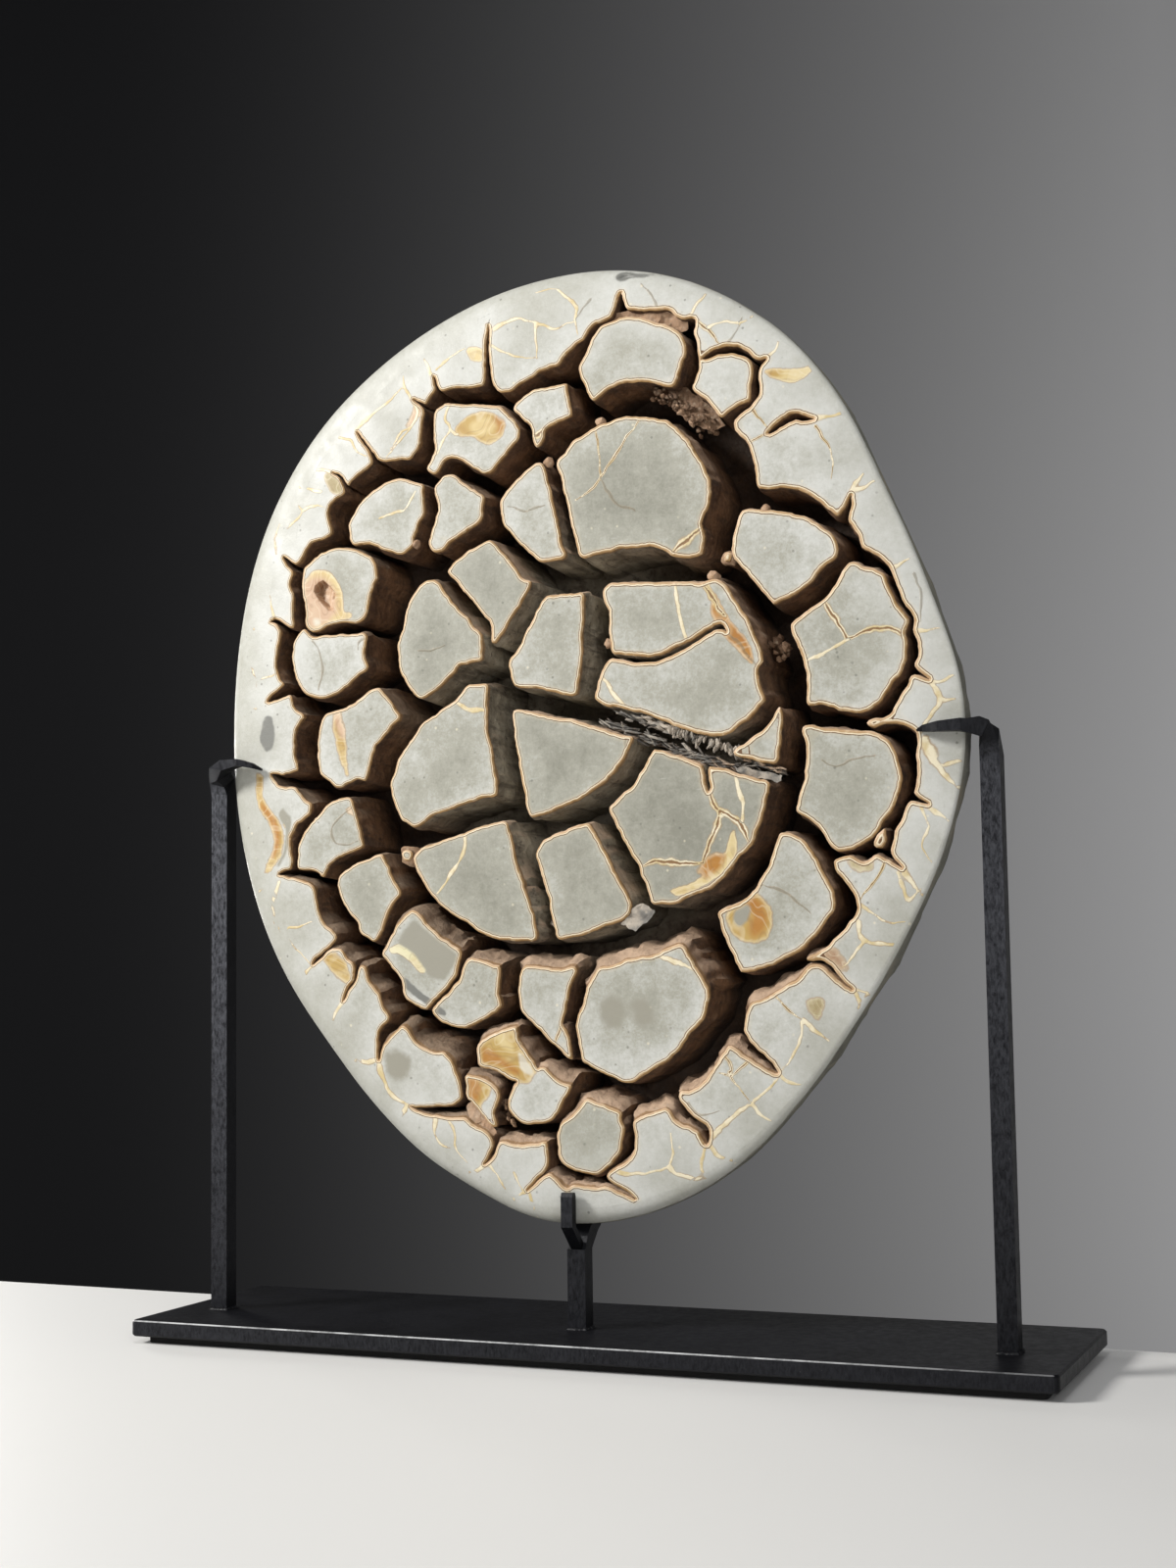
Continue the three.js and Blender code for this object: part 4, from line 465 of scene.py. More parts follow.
def resample_line(line, step):
    """A smooth open line through a few points, evenly spaced."""
    line = np.array(line, float)
    ends = np.vstack([2 * line[0] - line[1], line, 2 * line[-1] - line[-2]])
    rows = []
    for a, b, c, d in zip(ends, ends[1:], ends[2:], ends[3:]):
        count = max(2, math.ceil(length(c - b) / step))
        for t in np.arange(count) / count:
            rows.append(0.5 * (2 * b + (c - a) * t + (2 * a - 5 * b + 4 * c - d) * t ** 2
                               + (3 * b - a - 3 * c + d) * t ** 3))
    return np.array([*rows, line[-1]])


def turned_left(along):
    """Unit vectors at a right angle to those given."""
    return np.c_[-along[:, 1], along[:, 0]] / np.maximum(length(along), 1e-9)[:, None]


def normals_of(loop):
    """Unit normals that point into the stone, on the left of a loop's direction."""
    return turned_left(np.roll(loop, -1, axis=0) - np.roll(loop, 1, axis=0))


def inside(points, loops):
    """Whether each point [x, z] lies within the loops, counting crossings."""
    x, z = points.T
    within = np.zeros(len(points), bool)
    for loop in loops:
        for (ax, az), (bx, bz) in zip(loop, np.roll(loop, -1, axis=0)):
            rows = np.nonzero((az > z) != (bz > z))[0]
            hit = x[rows] < (bx - ax) * (z[rows] - az) / (bz - az) + ax
            within[rows[hit]] ^= True
    return within


def in_box(points, low, high):
    return np.all((points > low) & (points < high), axis=1)


class Nearest:
    """Distances from points [x, z] to the nearest of a set of points."""

    def __init__(self, points):
        self.tree = kdtree.KDTree(len(points))
        for i, (x, z) in enumerate(points):
            self.tree.insert((x, z, 0.0), i)
        self.tree.balance()

    def find(self, points):
        """The distance to, and the number of, the nearest point."""
        found = [self.tree.find((x, z, 0.0)) for x, z in points]
        return np.array([f[2] for f in found]), np.array([f[1] for f in found])

    def away(self, points):
        return self.find(points)[0]


# ------------------------------ what the solid gives

# Angles in degrees: flat enough to join two triangles of the skin, and square enough.
JOIN_FLAT, JOIN_SQUARE = 50, 70
ROUNDINGS = 2


def welded(node):
    """The corners of a node's mesh in mm, those at one place merged, and its faces."""
    mesh = node.data
    corners = np.empty(len(mesh.vertices) * 3)
    mesh.vertices.foreach_get("co", corners)
    corners = np.round(corners.reshape(-1, 3) / MM, 3)
    points, number = np.unique(corners, axis=0, return_inverse=True)
    number = number.reshape(-1)
    faces = [tuple(int(number[v]) for v in p.vertices) for p in mesh.polygons]
    return points, [f for f in faces if len(set(f)) == len(f)]


def at_depth(points, y):
    """The numbers of the points at the depth y."""
    return set(np.nonzero(np.abs(points[:, 1] - y) < SAME)[0].tolist())


def lone_edges(faces):
    """The edges (a, b) that only one face has, in that face's direction."""
    edges = {(a, b) for f in faces for a, b in zip(f, f[1:] + f[:1])}
    return sorted((a, b) for a, b in edges if (b, a) not in edges)


def outlines_at(points, faces, y):
    """Closed loops [x, z] round the flat places at depth y; the stone is on a loop's left."""
    level = at_depth(points, y)
    after = {}
    for a, b in lone_edges([f for f in faces if level.issuperset(f)]):
        after.setdefault(a, []).append(b)
    loops = []
    while after:
        loop, here = [], min(after)
        while here in after:
            loop.append(here)
            step = after[here].pop()
            if not after[here]:
                del after[here]
            here = step
        if len(loop) > 3:
            loops.append(points[loop][:, [0, 2]])
    return loops


def shell_faces(points, faces):
    """The faces of the outer skin: all that can be reached from the back without crossing the face."""
    level = at_depth(points, FACE_Y)
    skin = [f for f in faces if not level.issuperset(f)]
    touching = {}
    for i, f in enumerate(skin):
        for v in f:
            touching.setdefault(v, []).append(i)
    back = int(points[:, 1].argmax())
    seen, done, reach = set(), {back}, [back]
    while reach:
        for i in touching[reach.pop()]:
            if i not in seen:
                seen.add(i)
                new = set(skin[i]) - level - done
                done |= new
                reach += new
    return [skin[i] for i in sorted(seen)]


def link(name, data):
    """A new object of the scene."""
    piece = bpy.data.objects.new(name, data)
    bpy.context.scene.collection.objects.link(piece)
    return piece


def mesh_of(name, points, faces):
    """A new mesh from points in metres."""
    mesh = bpy.data.meshes.new(name)
    mesh.from_pydata(points, [], faces)
    return mesh


def smooth_shell(points, faces):
    """The outer skin as a finer, rounder mesh: its points in mm and its faces."""
    mesh = mesh_of("shell_cage", (points * MM).tolist(), faces)
    bm = bmesh.new()
    bm.from_mesh(mesh)
    bmesh.ops.delete(bm, geom=[v for v in bm.verts if not v.link_faces], context="VERTS")
    bmesh.ops.join_triangles(bm, faces=bm.faces[:], angle_face_threshold=math.radians(JOIN_FLAT),
                             angle_shape_threshold=math.radians(JOIN_SQUARE))
    bm.to_mesh(mesh)
    bm.free()
    cage = link("shell_cage", mesh)
    cage.modifiers.new("round", "SUBSURF").levels = ROUNDINGS
    fine = cage.evaluated_get(bpy.context.evaluated_depsgraph_get()).to_mesh()
    fine_points = np.array([v.co[:] for v in fine.vertices]) / MM
    fine_faces = [tuple(p.vertices) for p in fine.polygons]
    bpy.data.objects.remove(cage)
    bpy.data.meshes.remove(mesh)
    return fine_points, fine_faces


def open_edge(points, faces):
    """The loop [x, z] of a shell's open edge, with the stone's face on its left."""
    after = {b: a for a, b in lone_edges(faces)}
    start = min(after)
    loop, here = [start], after[start]
    while here != start:
        loop.append(here)
        here = after[here]
    return points[loop][:, [0, 2]]


# ------------------------------ the fine mesh of the stone

CUT_FACE, CRACK_WALL, CRUST = 0, 1, 2
NUMBERS = ("edge", "vein", "vein_kind", "patch", "rind", "depth", "low", "tone")
# Edges turned by more than this stay sharp, in degrees.
SHARP_ANGLE = 31
# The farthest from a cut edge, in mm, and from a vein, in half widths, that is painted.
EDGE_FAR, VEIN_FAR = 60.0, 6.0


class StoneMesh:
    """Gathers the points, faces and painted values of the stone's parts."""

    def __init__(self):
        self.points, self.faces, self.slots = [], [], []
        self.values = {name: [] for name in NUMBERS}
        self.colours = []
        self.count = 0

    def add(self, points, faces, slot, colours=None, **values):
        self.points.append(points)
        self.faces += [tuple(int(v) + self.count for v in f) for f in faces]
        self.slots += [slot] * len(faces)
        for name in NUMBERS:
            self.values[name].append(np.broadcast_to(values.get(name, 0.0), len(points)))
        self.colours.append(np.zeros((len(points), 3)) if colours is None else colours)
        self.count += len(points)

    def make(self, name, rim):
        points = np.clip(fallen_off(np.vstack(self.points), rim), LOW, HIGH)
        mesh = mesh_of(name, (points * MM).tolist(), self.faces)
        for key, parts in self.values.items():
            layer = mesh.attributes.new(key, "FLOAT", "POINT")
            layer.data.foreach_set("value", np.concatenate(parts).astype(np.float32))
        layer = mesh.attributes.new("patch_colour", "FLOAT_COLOR", "POINT")
        rgba = np.c_[np.vstack(self.colours), np.ones(self.count)]
        layer.data.foreach_set("color", rgba.astype(np.float32).ravel())
        mesh.polygons.foreach_set("material_index", self.slots)
        bm = bmesh.new()
        bm.from_mesh(mesh)
        bmesh.ops.remove_doubles(bm, verts=bm.verts[:], dist=SAME * MM)
        bm.to_mesh(mesh)
        bm.free()
        mesh.shade_smooth()
        mesh.set_sharp_from_angle(angle=math.radians(SHARP_ANGLE))
        return link(name, mesh)


class FacePaint:
    """What is painted on the flat face: distances to cut edges, veins and patches."""

    def __init__(self, cut_loops):
        self.edges = Nearest(np.vstack([resample(loop, 0.35) for loop in cut_loops]))
        self.vein_lines, self.half_widths, kinds = [], [], []
        for i, (width, kind, *points) in enumerate(VEINS + BORDER_VEINS):
            line = roughened(resample_line(points, 0.4), *VEIN_WAVES)
            share = np.linspace(0, 1, len(line))
            # Thin at both ends, and round the border from thick to thin.
            taper = 0.55 + 0.45 * np.sin(np.pi * np.clip(share, 0.12, 0.88))
            if i >= len(VEINS):
                taper = 1.5 - 1.0 * share
            swell = 1 + 0.7 * drift(line, *VEIN_SWELL)[:, 0]
            self.vein_lines.append(line)
            self.half_widths.append(0.5 * width * taper * swell)
            kinds.append(np.full(len(line), kind))
        self.vein_widths = np.concatenate(self.half_widths)
        self.vein_kinds = np.concatenate(kinds)
        self.veins = Nearest(np.vstack(self.vein_lines))
        self.patches = []
        for colour, soft, *outline in PATCHES:
            loop = roughened(smoothed(smoothed(resample(outline, 1.2))), *PATCH_WAVES)
            self.patches.append((colour, soft, loop, Nearest(resample(loop, 0.5))))

    def rows(self):
        """Points beside the veins and patches that keep their edges sharp."""
        rows = []
        for line, half in zip(self.vein_lines, self.half_widths):
            side = turned_left(np.gradient(line, axis=0))
            for offset in (-VEIN_REACH, -1, 0, 1, VEIN_REACH):
                rows.append((line + side * (offset * half)[:, None])[::4])
        for _, soft, loop, _ in self.patches:
            inward = normals_of(loop)
            rows += [loop - inward * soft, loop + inward * soft]
        return np.vstack(rows)

    def values(self, points):
        """The painted values of points [x, z] on the face."""
        away, number = self.veins.find(points)
        patch = np.full(len(points), -PATCH_REACH)
        colours = np.tile(np.array(CALCITE), (len(points), 1))
        for colour, soft, loop, outline in self.patches:
            margin = PATCH_REACH * soft
            near = np.nonzero(in_box(points, loop.min(0) - margin, loop.max(0) + margin))[0]
            if len(near) == 0:
                continue
            away_from_line = outline.away(points[near])
            within = inside(points[near], [loop])
            signed = np.where(within, away_from_line, -away_from_line) / soft
            signed = np.clip(signed, -PATCH_REACH, PATCH_REACH)
            older = patch[near]
            # Over an earlier patch the colours blend; elsewhere the patch has an edge of its own.
            over = older > 0.5
            cover = within | (signed > np.maximum(older, -2.0))
            share = np.where(over, smoothstep(-1.0, 1.0, signed), cover)[:, None]
            colours[near] += (np.array(colour) - colours[near]) * share
            patch[near] = np.where(over, np.maximum(older, signed), np.where(cover, signed, older))
        return {
            "edge": np.minimum(self.edges.away(points), EDGE_FAR),
            "vein": np.minimum(away / self.vein_widths[number], VEIN_FAR),
            "vein_kind": self.vein_kinds[number],
            "patch": patch,
        }, colours


def thin_out(points, keep_from, spacing):
    """The points that keep a distance from each other, and from those already there."""
    cells = {}

    def cell(p):
        return int(p[0] // spacing), int(p[1] // spacing)

    def keep(p):
        cells.setdefault(cell(p), []).append(p)
        return p

    def crowded(p):
        column, row = cell(p)
        near = (q for i in (-1, 0, 1) for j in (-1, 0, 1) for q in cells.get((column + i, row + j), ()))
        return any((p[0] - q[0]) ** 2 + (p[1] - q[1]) ** 2 < spacing ** 2 for q in near)

    for p in keep_from:
        keep(p)
    return np.array([keep(p) for p in points if not crowded(p)]).reshape(-1, 2)


def hex_grid(low, high, step, seed):
    """Points [x, z] on a jittered triangular grid."""
    rng = random.Random(seed)
    rows = []
    z, odd = low[1], False
    while z < high[1]:
        x = low[0] + (step / 2 if odd else 0)
        while x < high[0]:
            rows.append((x + rng.uniform(-0.25, 0.25) * step, z + rng.uniform(-0.25, 0.25) * step))
            x += step
        z += step * 0.866
        odd = not odd
    return np.array(rows).reshape(-1, 2)


def triangulated(points, edges=(), output=0):
    """Triangles through points [x, z] and along the given edges: the points and the faces."""
    corners = [Vector(p) for p in points.tolist()]
    found, _, faces, *_ = delaunay_2d_cdt(corners, list(edges), [], output, 1e-5)
    return np.array([v[:] for v in found]), np.array([f for f in faces if len(f) == 3])


def fill(loops, loose):
    """Triangles within loops, through their points and loose ones: points [x, z] and faces."""
    edges, start = [], 0
    for loop in loops:
        edges += [(start + i, start + (i + 1) % len(loop)) for i in range(len(loop))]
        start += len(loop)
    points, faces = triangulated(np.vstack([*loops, loose]), edges, output=1)
    return points, faces[inside(points[faces].mean(axis=1), loops)]


def pit_rows():
    """Points along a pit's outline and over its bottom."""
    rows = []
    for pit in PITS:
        loop = anticlockwise(resample(pit["outline"], PIT_STEP))
        rows += [loop + normals_of(loop) * (share * pit["wall"]) for share in (0.0, 0.5, 1.0)]
        rows.append(hex_grid(loop.min(0), loop.max(0), PIT_BOTTOM_STEP, SEED))
    return np.vstack(rows)


def pit_depth(points):
    """How far the face is sunk at points [x, z]."""
    depth = np.zeros(len(points))
    for pit in PITS:
        loop = resample(pit["outline"], 0.5)
        away = np.where(inside(points, [loop]), Nearest(loop).away(points), 0.0)
        across = np.clip((points[:, 0] - loop[:, 0].min()) / np.ptp(loop[:, 0]), 0, 1)
        bottom = pit["left"] + (pit["right"] - pit["left"]) * across + drift(points, *PIT_BOTTOM)[:, 0]
        depth = np.maximum(depth, bottom * smoothstep(0.0, pit["wall"], away))
    return depth


def edge_drop(points, away):
    """How far the face is worn down at points [x, z] this far from a crack."""
    slope = EDGE_DROP * np.clip(1 - away / EDGE_ROWS[0], 0, 1)
    return slope * (1 + 0.5 * drift(points, *EDGE_WEAR)[:, 0])


def inner_rows(loops, outline):
    """Rows of points inside the loops, along them; sparser further in."""
    rows = []
    for reach in EDGE_ROWS:
        step = 2 if reach == EDGE_ROWS[-1] else 1
        row = np.vstack([(loop + normals_of(loop) * reach)[::step] for loop in loops])
        rows.append(row[outline.away(row) > 0.85 * reach])
    rows = np.vstack(rows)
    return rows[inside(rows, loops)]


def add_cap(stone, loops, paint, seed, tone, drawn):
    """The flat cut face of the border or of a block, with the points that its drawings need."""
    outline = Nearest(np.vstack([resample(loop, 0.5) for loop in loops]))
    low, high = np.vstack(loops).min(0), np.vstack(loops).max(0)
    drawn = drawn[in_box(drawn, low, high)]
    drawn = drawn[outline.away(drawn) > 0.5]
    drawn = drawn[inside(drawn, loops)]
    grid = hex_grid(low, high, FACE_STEP, seed)
    grid = grid[inside(grid, loops)]
    grid = grid[outline.away(grid) > EDGE_ROWS[-1] + 1.0]
    loose = thin_out(np.vstack([drawn, inner_rows(loops, outline)]), (), FINE_GAP)
    loose = np.vstack([loose, thin_out(grid, loose, COARSE_GAP)])
    points, faces = fill(loops, loose)
    values, colours = paint.values(points)
    y = FACE_Y + pit_depth(points) + edge_drop(points, values["edge"])
    stone.add(to_space(points, y), faces, CUT_FACE, colours, tone=tone, **values)


def floor_depth(points):
    """How deep the cracks go below the face at points [x, z]."""
    dome = np.sqrt(np.clip(1 - out_from_middle(points) ** 2, 0, 1))
    return FLOOR_SHALLOW + (FLOOR_DEEP - FLOOR_SHALLOW) * dome


def room_beside(loop, outward, edges):
    """The radius of the largest circle that fits in the crack beside each point of a loop."""
    room = np.full(len(loop), ROOM_RADII[0] / 2)
    for reach in ROOM_RADII:
        fits = edges.away(loop + outward * reach) > 0.8 * reach
        room = np.where(fits, reach, room)
    return np.convolve(np.r_[room[-2:], room, room[:2]], np.ones(5) / 5, "valid")


def add_walls(stone, loop, paint, tone):
    """The walls of a crack below a loop of its edge."""
    outward = -normals_of(loop)
    room = room_beside(loop, outward, paint.edges)
    # Low on the stone the walls that face upwards are rough slopes; the others are nearly flat.
    height = loop[:, 1] + 0.3 * np.abs(loop[:, 0] + 50)
    upward = smoothstep(*SLOPE_FACING, outward[:, 1]) * smoothstep(*SLOPE_HEIGHT, height)
    top = edge_drop(loop, np.zeros(len(loop)))
    floor = floor_depth(loop)
    lowest = [floor + UNDER_FLOOR]
    rings = [to_space(loop, FACE_Y + top)]
    for below in [np.minimum(top + depth, 0.9 * floor) for depth in WALL_DEPTHS] + lowest:
        deep = below - top
        bulge = WALL_ROUNDING * smoothstep(0.0, 3.0, deep) + WALL_LEAN * deep
        bulge += upward * (SLOPE_LEAN * np.minimum(deep, SLOPE_DEPTH))
        bulge = np.minimum(bulge, (0.4 + 0.45 * upward) * room)
        ring = to_space(loop + outward * bulge[:, None], FACE_Y + below)
        free = (np.minimum(room, 3.0) / 3.0 * smoothstep(0.5, 6.0, deep))[:, None]
        rough = drift(ring, 15.0, 2.0, tone * 40) + drift(ring, *WALL_LUMPS)
        rough = rough + upward[:, None] * sum(drift(ring, *layer) for layer in SLOPE_LUMPS)
        rough[:, 1] *= 0.5
        rings.append(ring + rough * free + drift(ring, *WALL_GRAIN))
    points, count = np.vstack(rings), len(loop)
    corners = [(start + i, start + (i + 1) % count)
               for start in range(0, len(points) - count, count) for i in range(count)]
    below = points[:, 1] - FACE_Y
    stone.add(points, [(a, a + count, b + count, b) for a, b in corners], CRACK_WALL,
              depth=below, low=below / np.tile(floor, len(rings)), tone=tone)


def add_floor(stone, opening):
    """The floor of the cracks, which also runs on under the blocks."""
    grid = hex_grid(opening.min(0) - 4, opening.max(0) + 4, FLOOR_STEP, SEED)
    edge = Nearest(resample(opening, 2.0))
    points, faces = triangulated(grid[inside(grid, [opening]) | (edge.away(grid) < FLOOR_STEP)])
    sides = points[faces] - points[np.roll(faces, 1, axis=1)]
    faces = faces[length(sides).max(axis=1) < 2.5 * FLOOR_STEP]
    below = floor_depth(points) + drift(to_space(points, 0.0), *FLOOR_LUMPS)[:, 1]
    stone.add(to_space(points, FACE_Y + below), faces, CRACK_WALL, depth=below, low=1.0)


def fallen_off(points, rim):
    """The points moved back where the face falls off gently towards its rim."""
    flat = points[:, [0, 2]]
    away = np.where(inside(flat, [rim]), Nearest(resample(rim, 1.0)).away(flat), 0.0)
    fall = RIM_FALL * np.clip(1 - away / RIM_REACH, 0, 1) ** 2
    fall *= 1 - smoothstep(0.0, 25.0, points[:, 1] - FACE_Y)
    return points + to_space(np.zeros((len(points), 2)), fall)


def add_lump(stone, at, radius, seed, tone, squash=(1.0, 1.0, 1.0), turn=0.0, detail=3):
    """A rough ball of calcite, or a crystal: squashed, then turned in the plane of the face."""
    bm = bmesh.new()
    bmesh.ops.create_icosphere(bm, subdivisions=detail, radius=1.0)
    turned = np.array(Matrix.Rotation(turn, 3, "Y"))
    ball = np.array([v.co[:] for v in bm.verts]) * np.array(squash) @ turned
    faces = [tuple(v.index for v in f.verts) for f in bm.faces]
    bm.free()
    points = roughened(ball, (0.9, 0.35, seed)) * radius + np.array(at)
    stone.add(points, faces, CRUST, depth=points[:, 1] - FACE_Y, tone=tone)


def add_crust(stone, crust, seed):
    """A strip of small crystals grown together."""
    rng = random.Random(seed)
    line = resample_line(crust["line"], 0.5)
    ahead = np.gradient(line, axis=0)
    for i in range(crust["count"]):
        here = rng.randrange(len(line))
        x, z = line[here]
        turn = math.atan2(ahead[here, 1], ahead[here, 0]) + rng.gauss(0, 0.25)
        turn += math.pi / 2 if crust.get("across") else 0.0
        size = crust["size"] * rng.uniform(0.6, 1.25)
        at = (x + rng.gauss(0, 0.3) * crust["width"], FACE_Y + crust["below"] + rng.uniform(-2.0, 3.0),
              z + rng.gauss(0, 0.3) * crust["width"])
        tone = min(1.0, max(0.0, crust["tone"] + rng.uniform(-0.2, 0.15)))
        along, deep, high = rng.uniform(0.6, 1.2), rng.uniform(0.7, 1.3), rng.uniform(0.5, 1.1)
        squash = (along * crust.get("stretch", 1.3), deep, high / crust.get("stretch", 1.0) ** 0.5)
        add_lump(stone, at, size, seed * 100 + i, tone, squash, turn, detail=1)


def add_ledge(stone, loop, below):
    """The rough top of a lump of calcite that fills part of a crack."""
    loop = resample(loop, LEDGE_STEP)
    grid = hex_grid(loop.min(0), loop.max(0), LEDGE_TOP_STEP, SEED)
    grid = grid[inside(grid, [loop])]
    grid = grid[Nearest(loop).away(grid) > 1.0]
    points, faces = fill([loop], grid)
    top = roughened(to_space(points, FACE_Y + below), *LEDGE_LUMPS)
    tone = next(tone for reach, tone in LEDGE_TONES if out_from_middle(loop.mean(0)) < reach)
    stone.add(top, faces, CRUST, depth=below, tone=tone)


def add_shell(stone, points, faces, paint):
    """The rounded rim and the domed back: polished in front, natural rind behind."""
    mesh = mesh_of("shell", points.tolist(), faces)
    normals = np.array([v.normal[:] for v in mesh.vertices])
    bpy.data.meshes.remove(mesh)
    # Only what faces forwards was ground and polished; its edge wanders a little.
    rind = smoothstep(*RIND_FACING, normals[:, 1] + drift(points, *RIND_WANDER)[:, 0])
    below = points[:, 1] - FACE_Y
    lumps = sum(drift(points, *layer)[:, 0] for layer in RIND_LUMPS) - RIND_SUNK
    lumps *= smoothstep(*RIND_ROUGH, below) * rind
    values, colours = paint.values(points[:, [0, 2]])
    values["edge"] = values["edge"] + np.maximum(below, 0)
    values["vein"] = values["vein"] + VEIN_FAR * rind
    values["patch"] = np.where(rind > 0.4, -PATCH_REACH, values["patch"])
    stone.add(points + normals * lumps[:, None], faces, CUT_FACE, colours,
              rind=rind, depth=below, tone=BORDER_TONE, **values)


def natural(loop):
    """A cut edge as it breaks: evenly spaced, softened and uneven."""
    return roughened(smoothed(resample(loop, CRACK_STEP)), *CRACK_WAVES)


def make_stone():
    """The whole stone as one mesh."""
    points, faces = welded(STONE)
    shell_points, shell = smooth_shell(points, shell_faces(points, faces))
    rim = anticlockwise(open_edge(shell_points, shell))
    # The largest loop is the face's outline and the next one the border's inner edge.
    loops = sorted(outlines_at(points, faces, FACE_Y), key=lambda loop: -abs(signed_area(loop)))[1:]
    opening = loops[0]
    # A pit is sunk into the painted face, so the solid's hole for it is left out.
    pits = [np.mean(pit["outline"], axis=0) for pit in PITS]
    holes = [natural(loop) for loop in loops if signed_area(loop) < 0
             and all(length(loop.mean(0) - pit) >= 8 for pit in pits)]
    blocks = [natural(loop) for loop in loops if signed_area(loop) > 0]
    paint = FacePaint(holes + blocks)
    drawn = np.vstack([pit_rows(), paint.rows()])
    stone = StoneMesh()
    add_cap(stone, [rim, *holes], paint, SEED, BORDER_TONE, drawn)
    for loop in holes:
        add_walls(stone, loop, paint, BORDER_TONE)
    rng = random.Random(SEED)
    for i, loop in enumerate(blocks):
        tone = rng.random()
        # Given tones, some of them painted shade, replace the random one.
        for place, given in BLOCK_TONES_AND_SHADE:
            if inside(np.array([place]), [loop])[0]:
                tone = given
        add_cap(stone, [loop], paint, SEED + i + 1, tone, drawn)
        add_walls(stone, loop, paint, tone)
    add_floor(stone, opening)
    shallow, deep = LEDGE_DEPTHS
    for level in sorted({round(float(y), 2) for y in points[:, 1] if shallow < y - FACE_Y < deep}):
        for loop in outlines_at(points, faces, level):
            if abs(signed_area(loop)) > LEDGE_AREA:
                add_ledge(stone, loop, level - FACE_Y)
    for i, (x, z, radius) in enumerate(KNOBS):
        add_lump(stone, (x, FACE_Y + radius, z), radius, i, KNOB_TONE)
    for i, crust in enumerate(CRUSTS):
        add_crust(stone, crust, SEED + i)
    add_shell(stone, shell_points, shell, paint)
    return stone.make("nodule", rim)


# ------------------------------ node helpers

# Numbers of a colour Mix node's sockets: the factor and the two colours, and the result.
MIX_FACTOR, MIX_FIRST, MIX_SECOND, MIX_RESULT = 0, 6, 7, 2


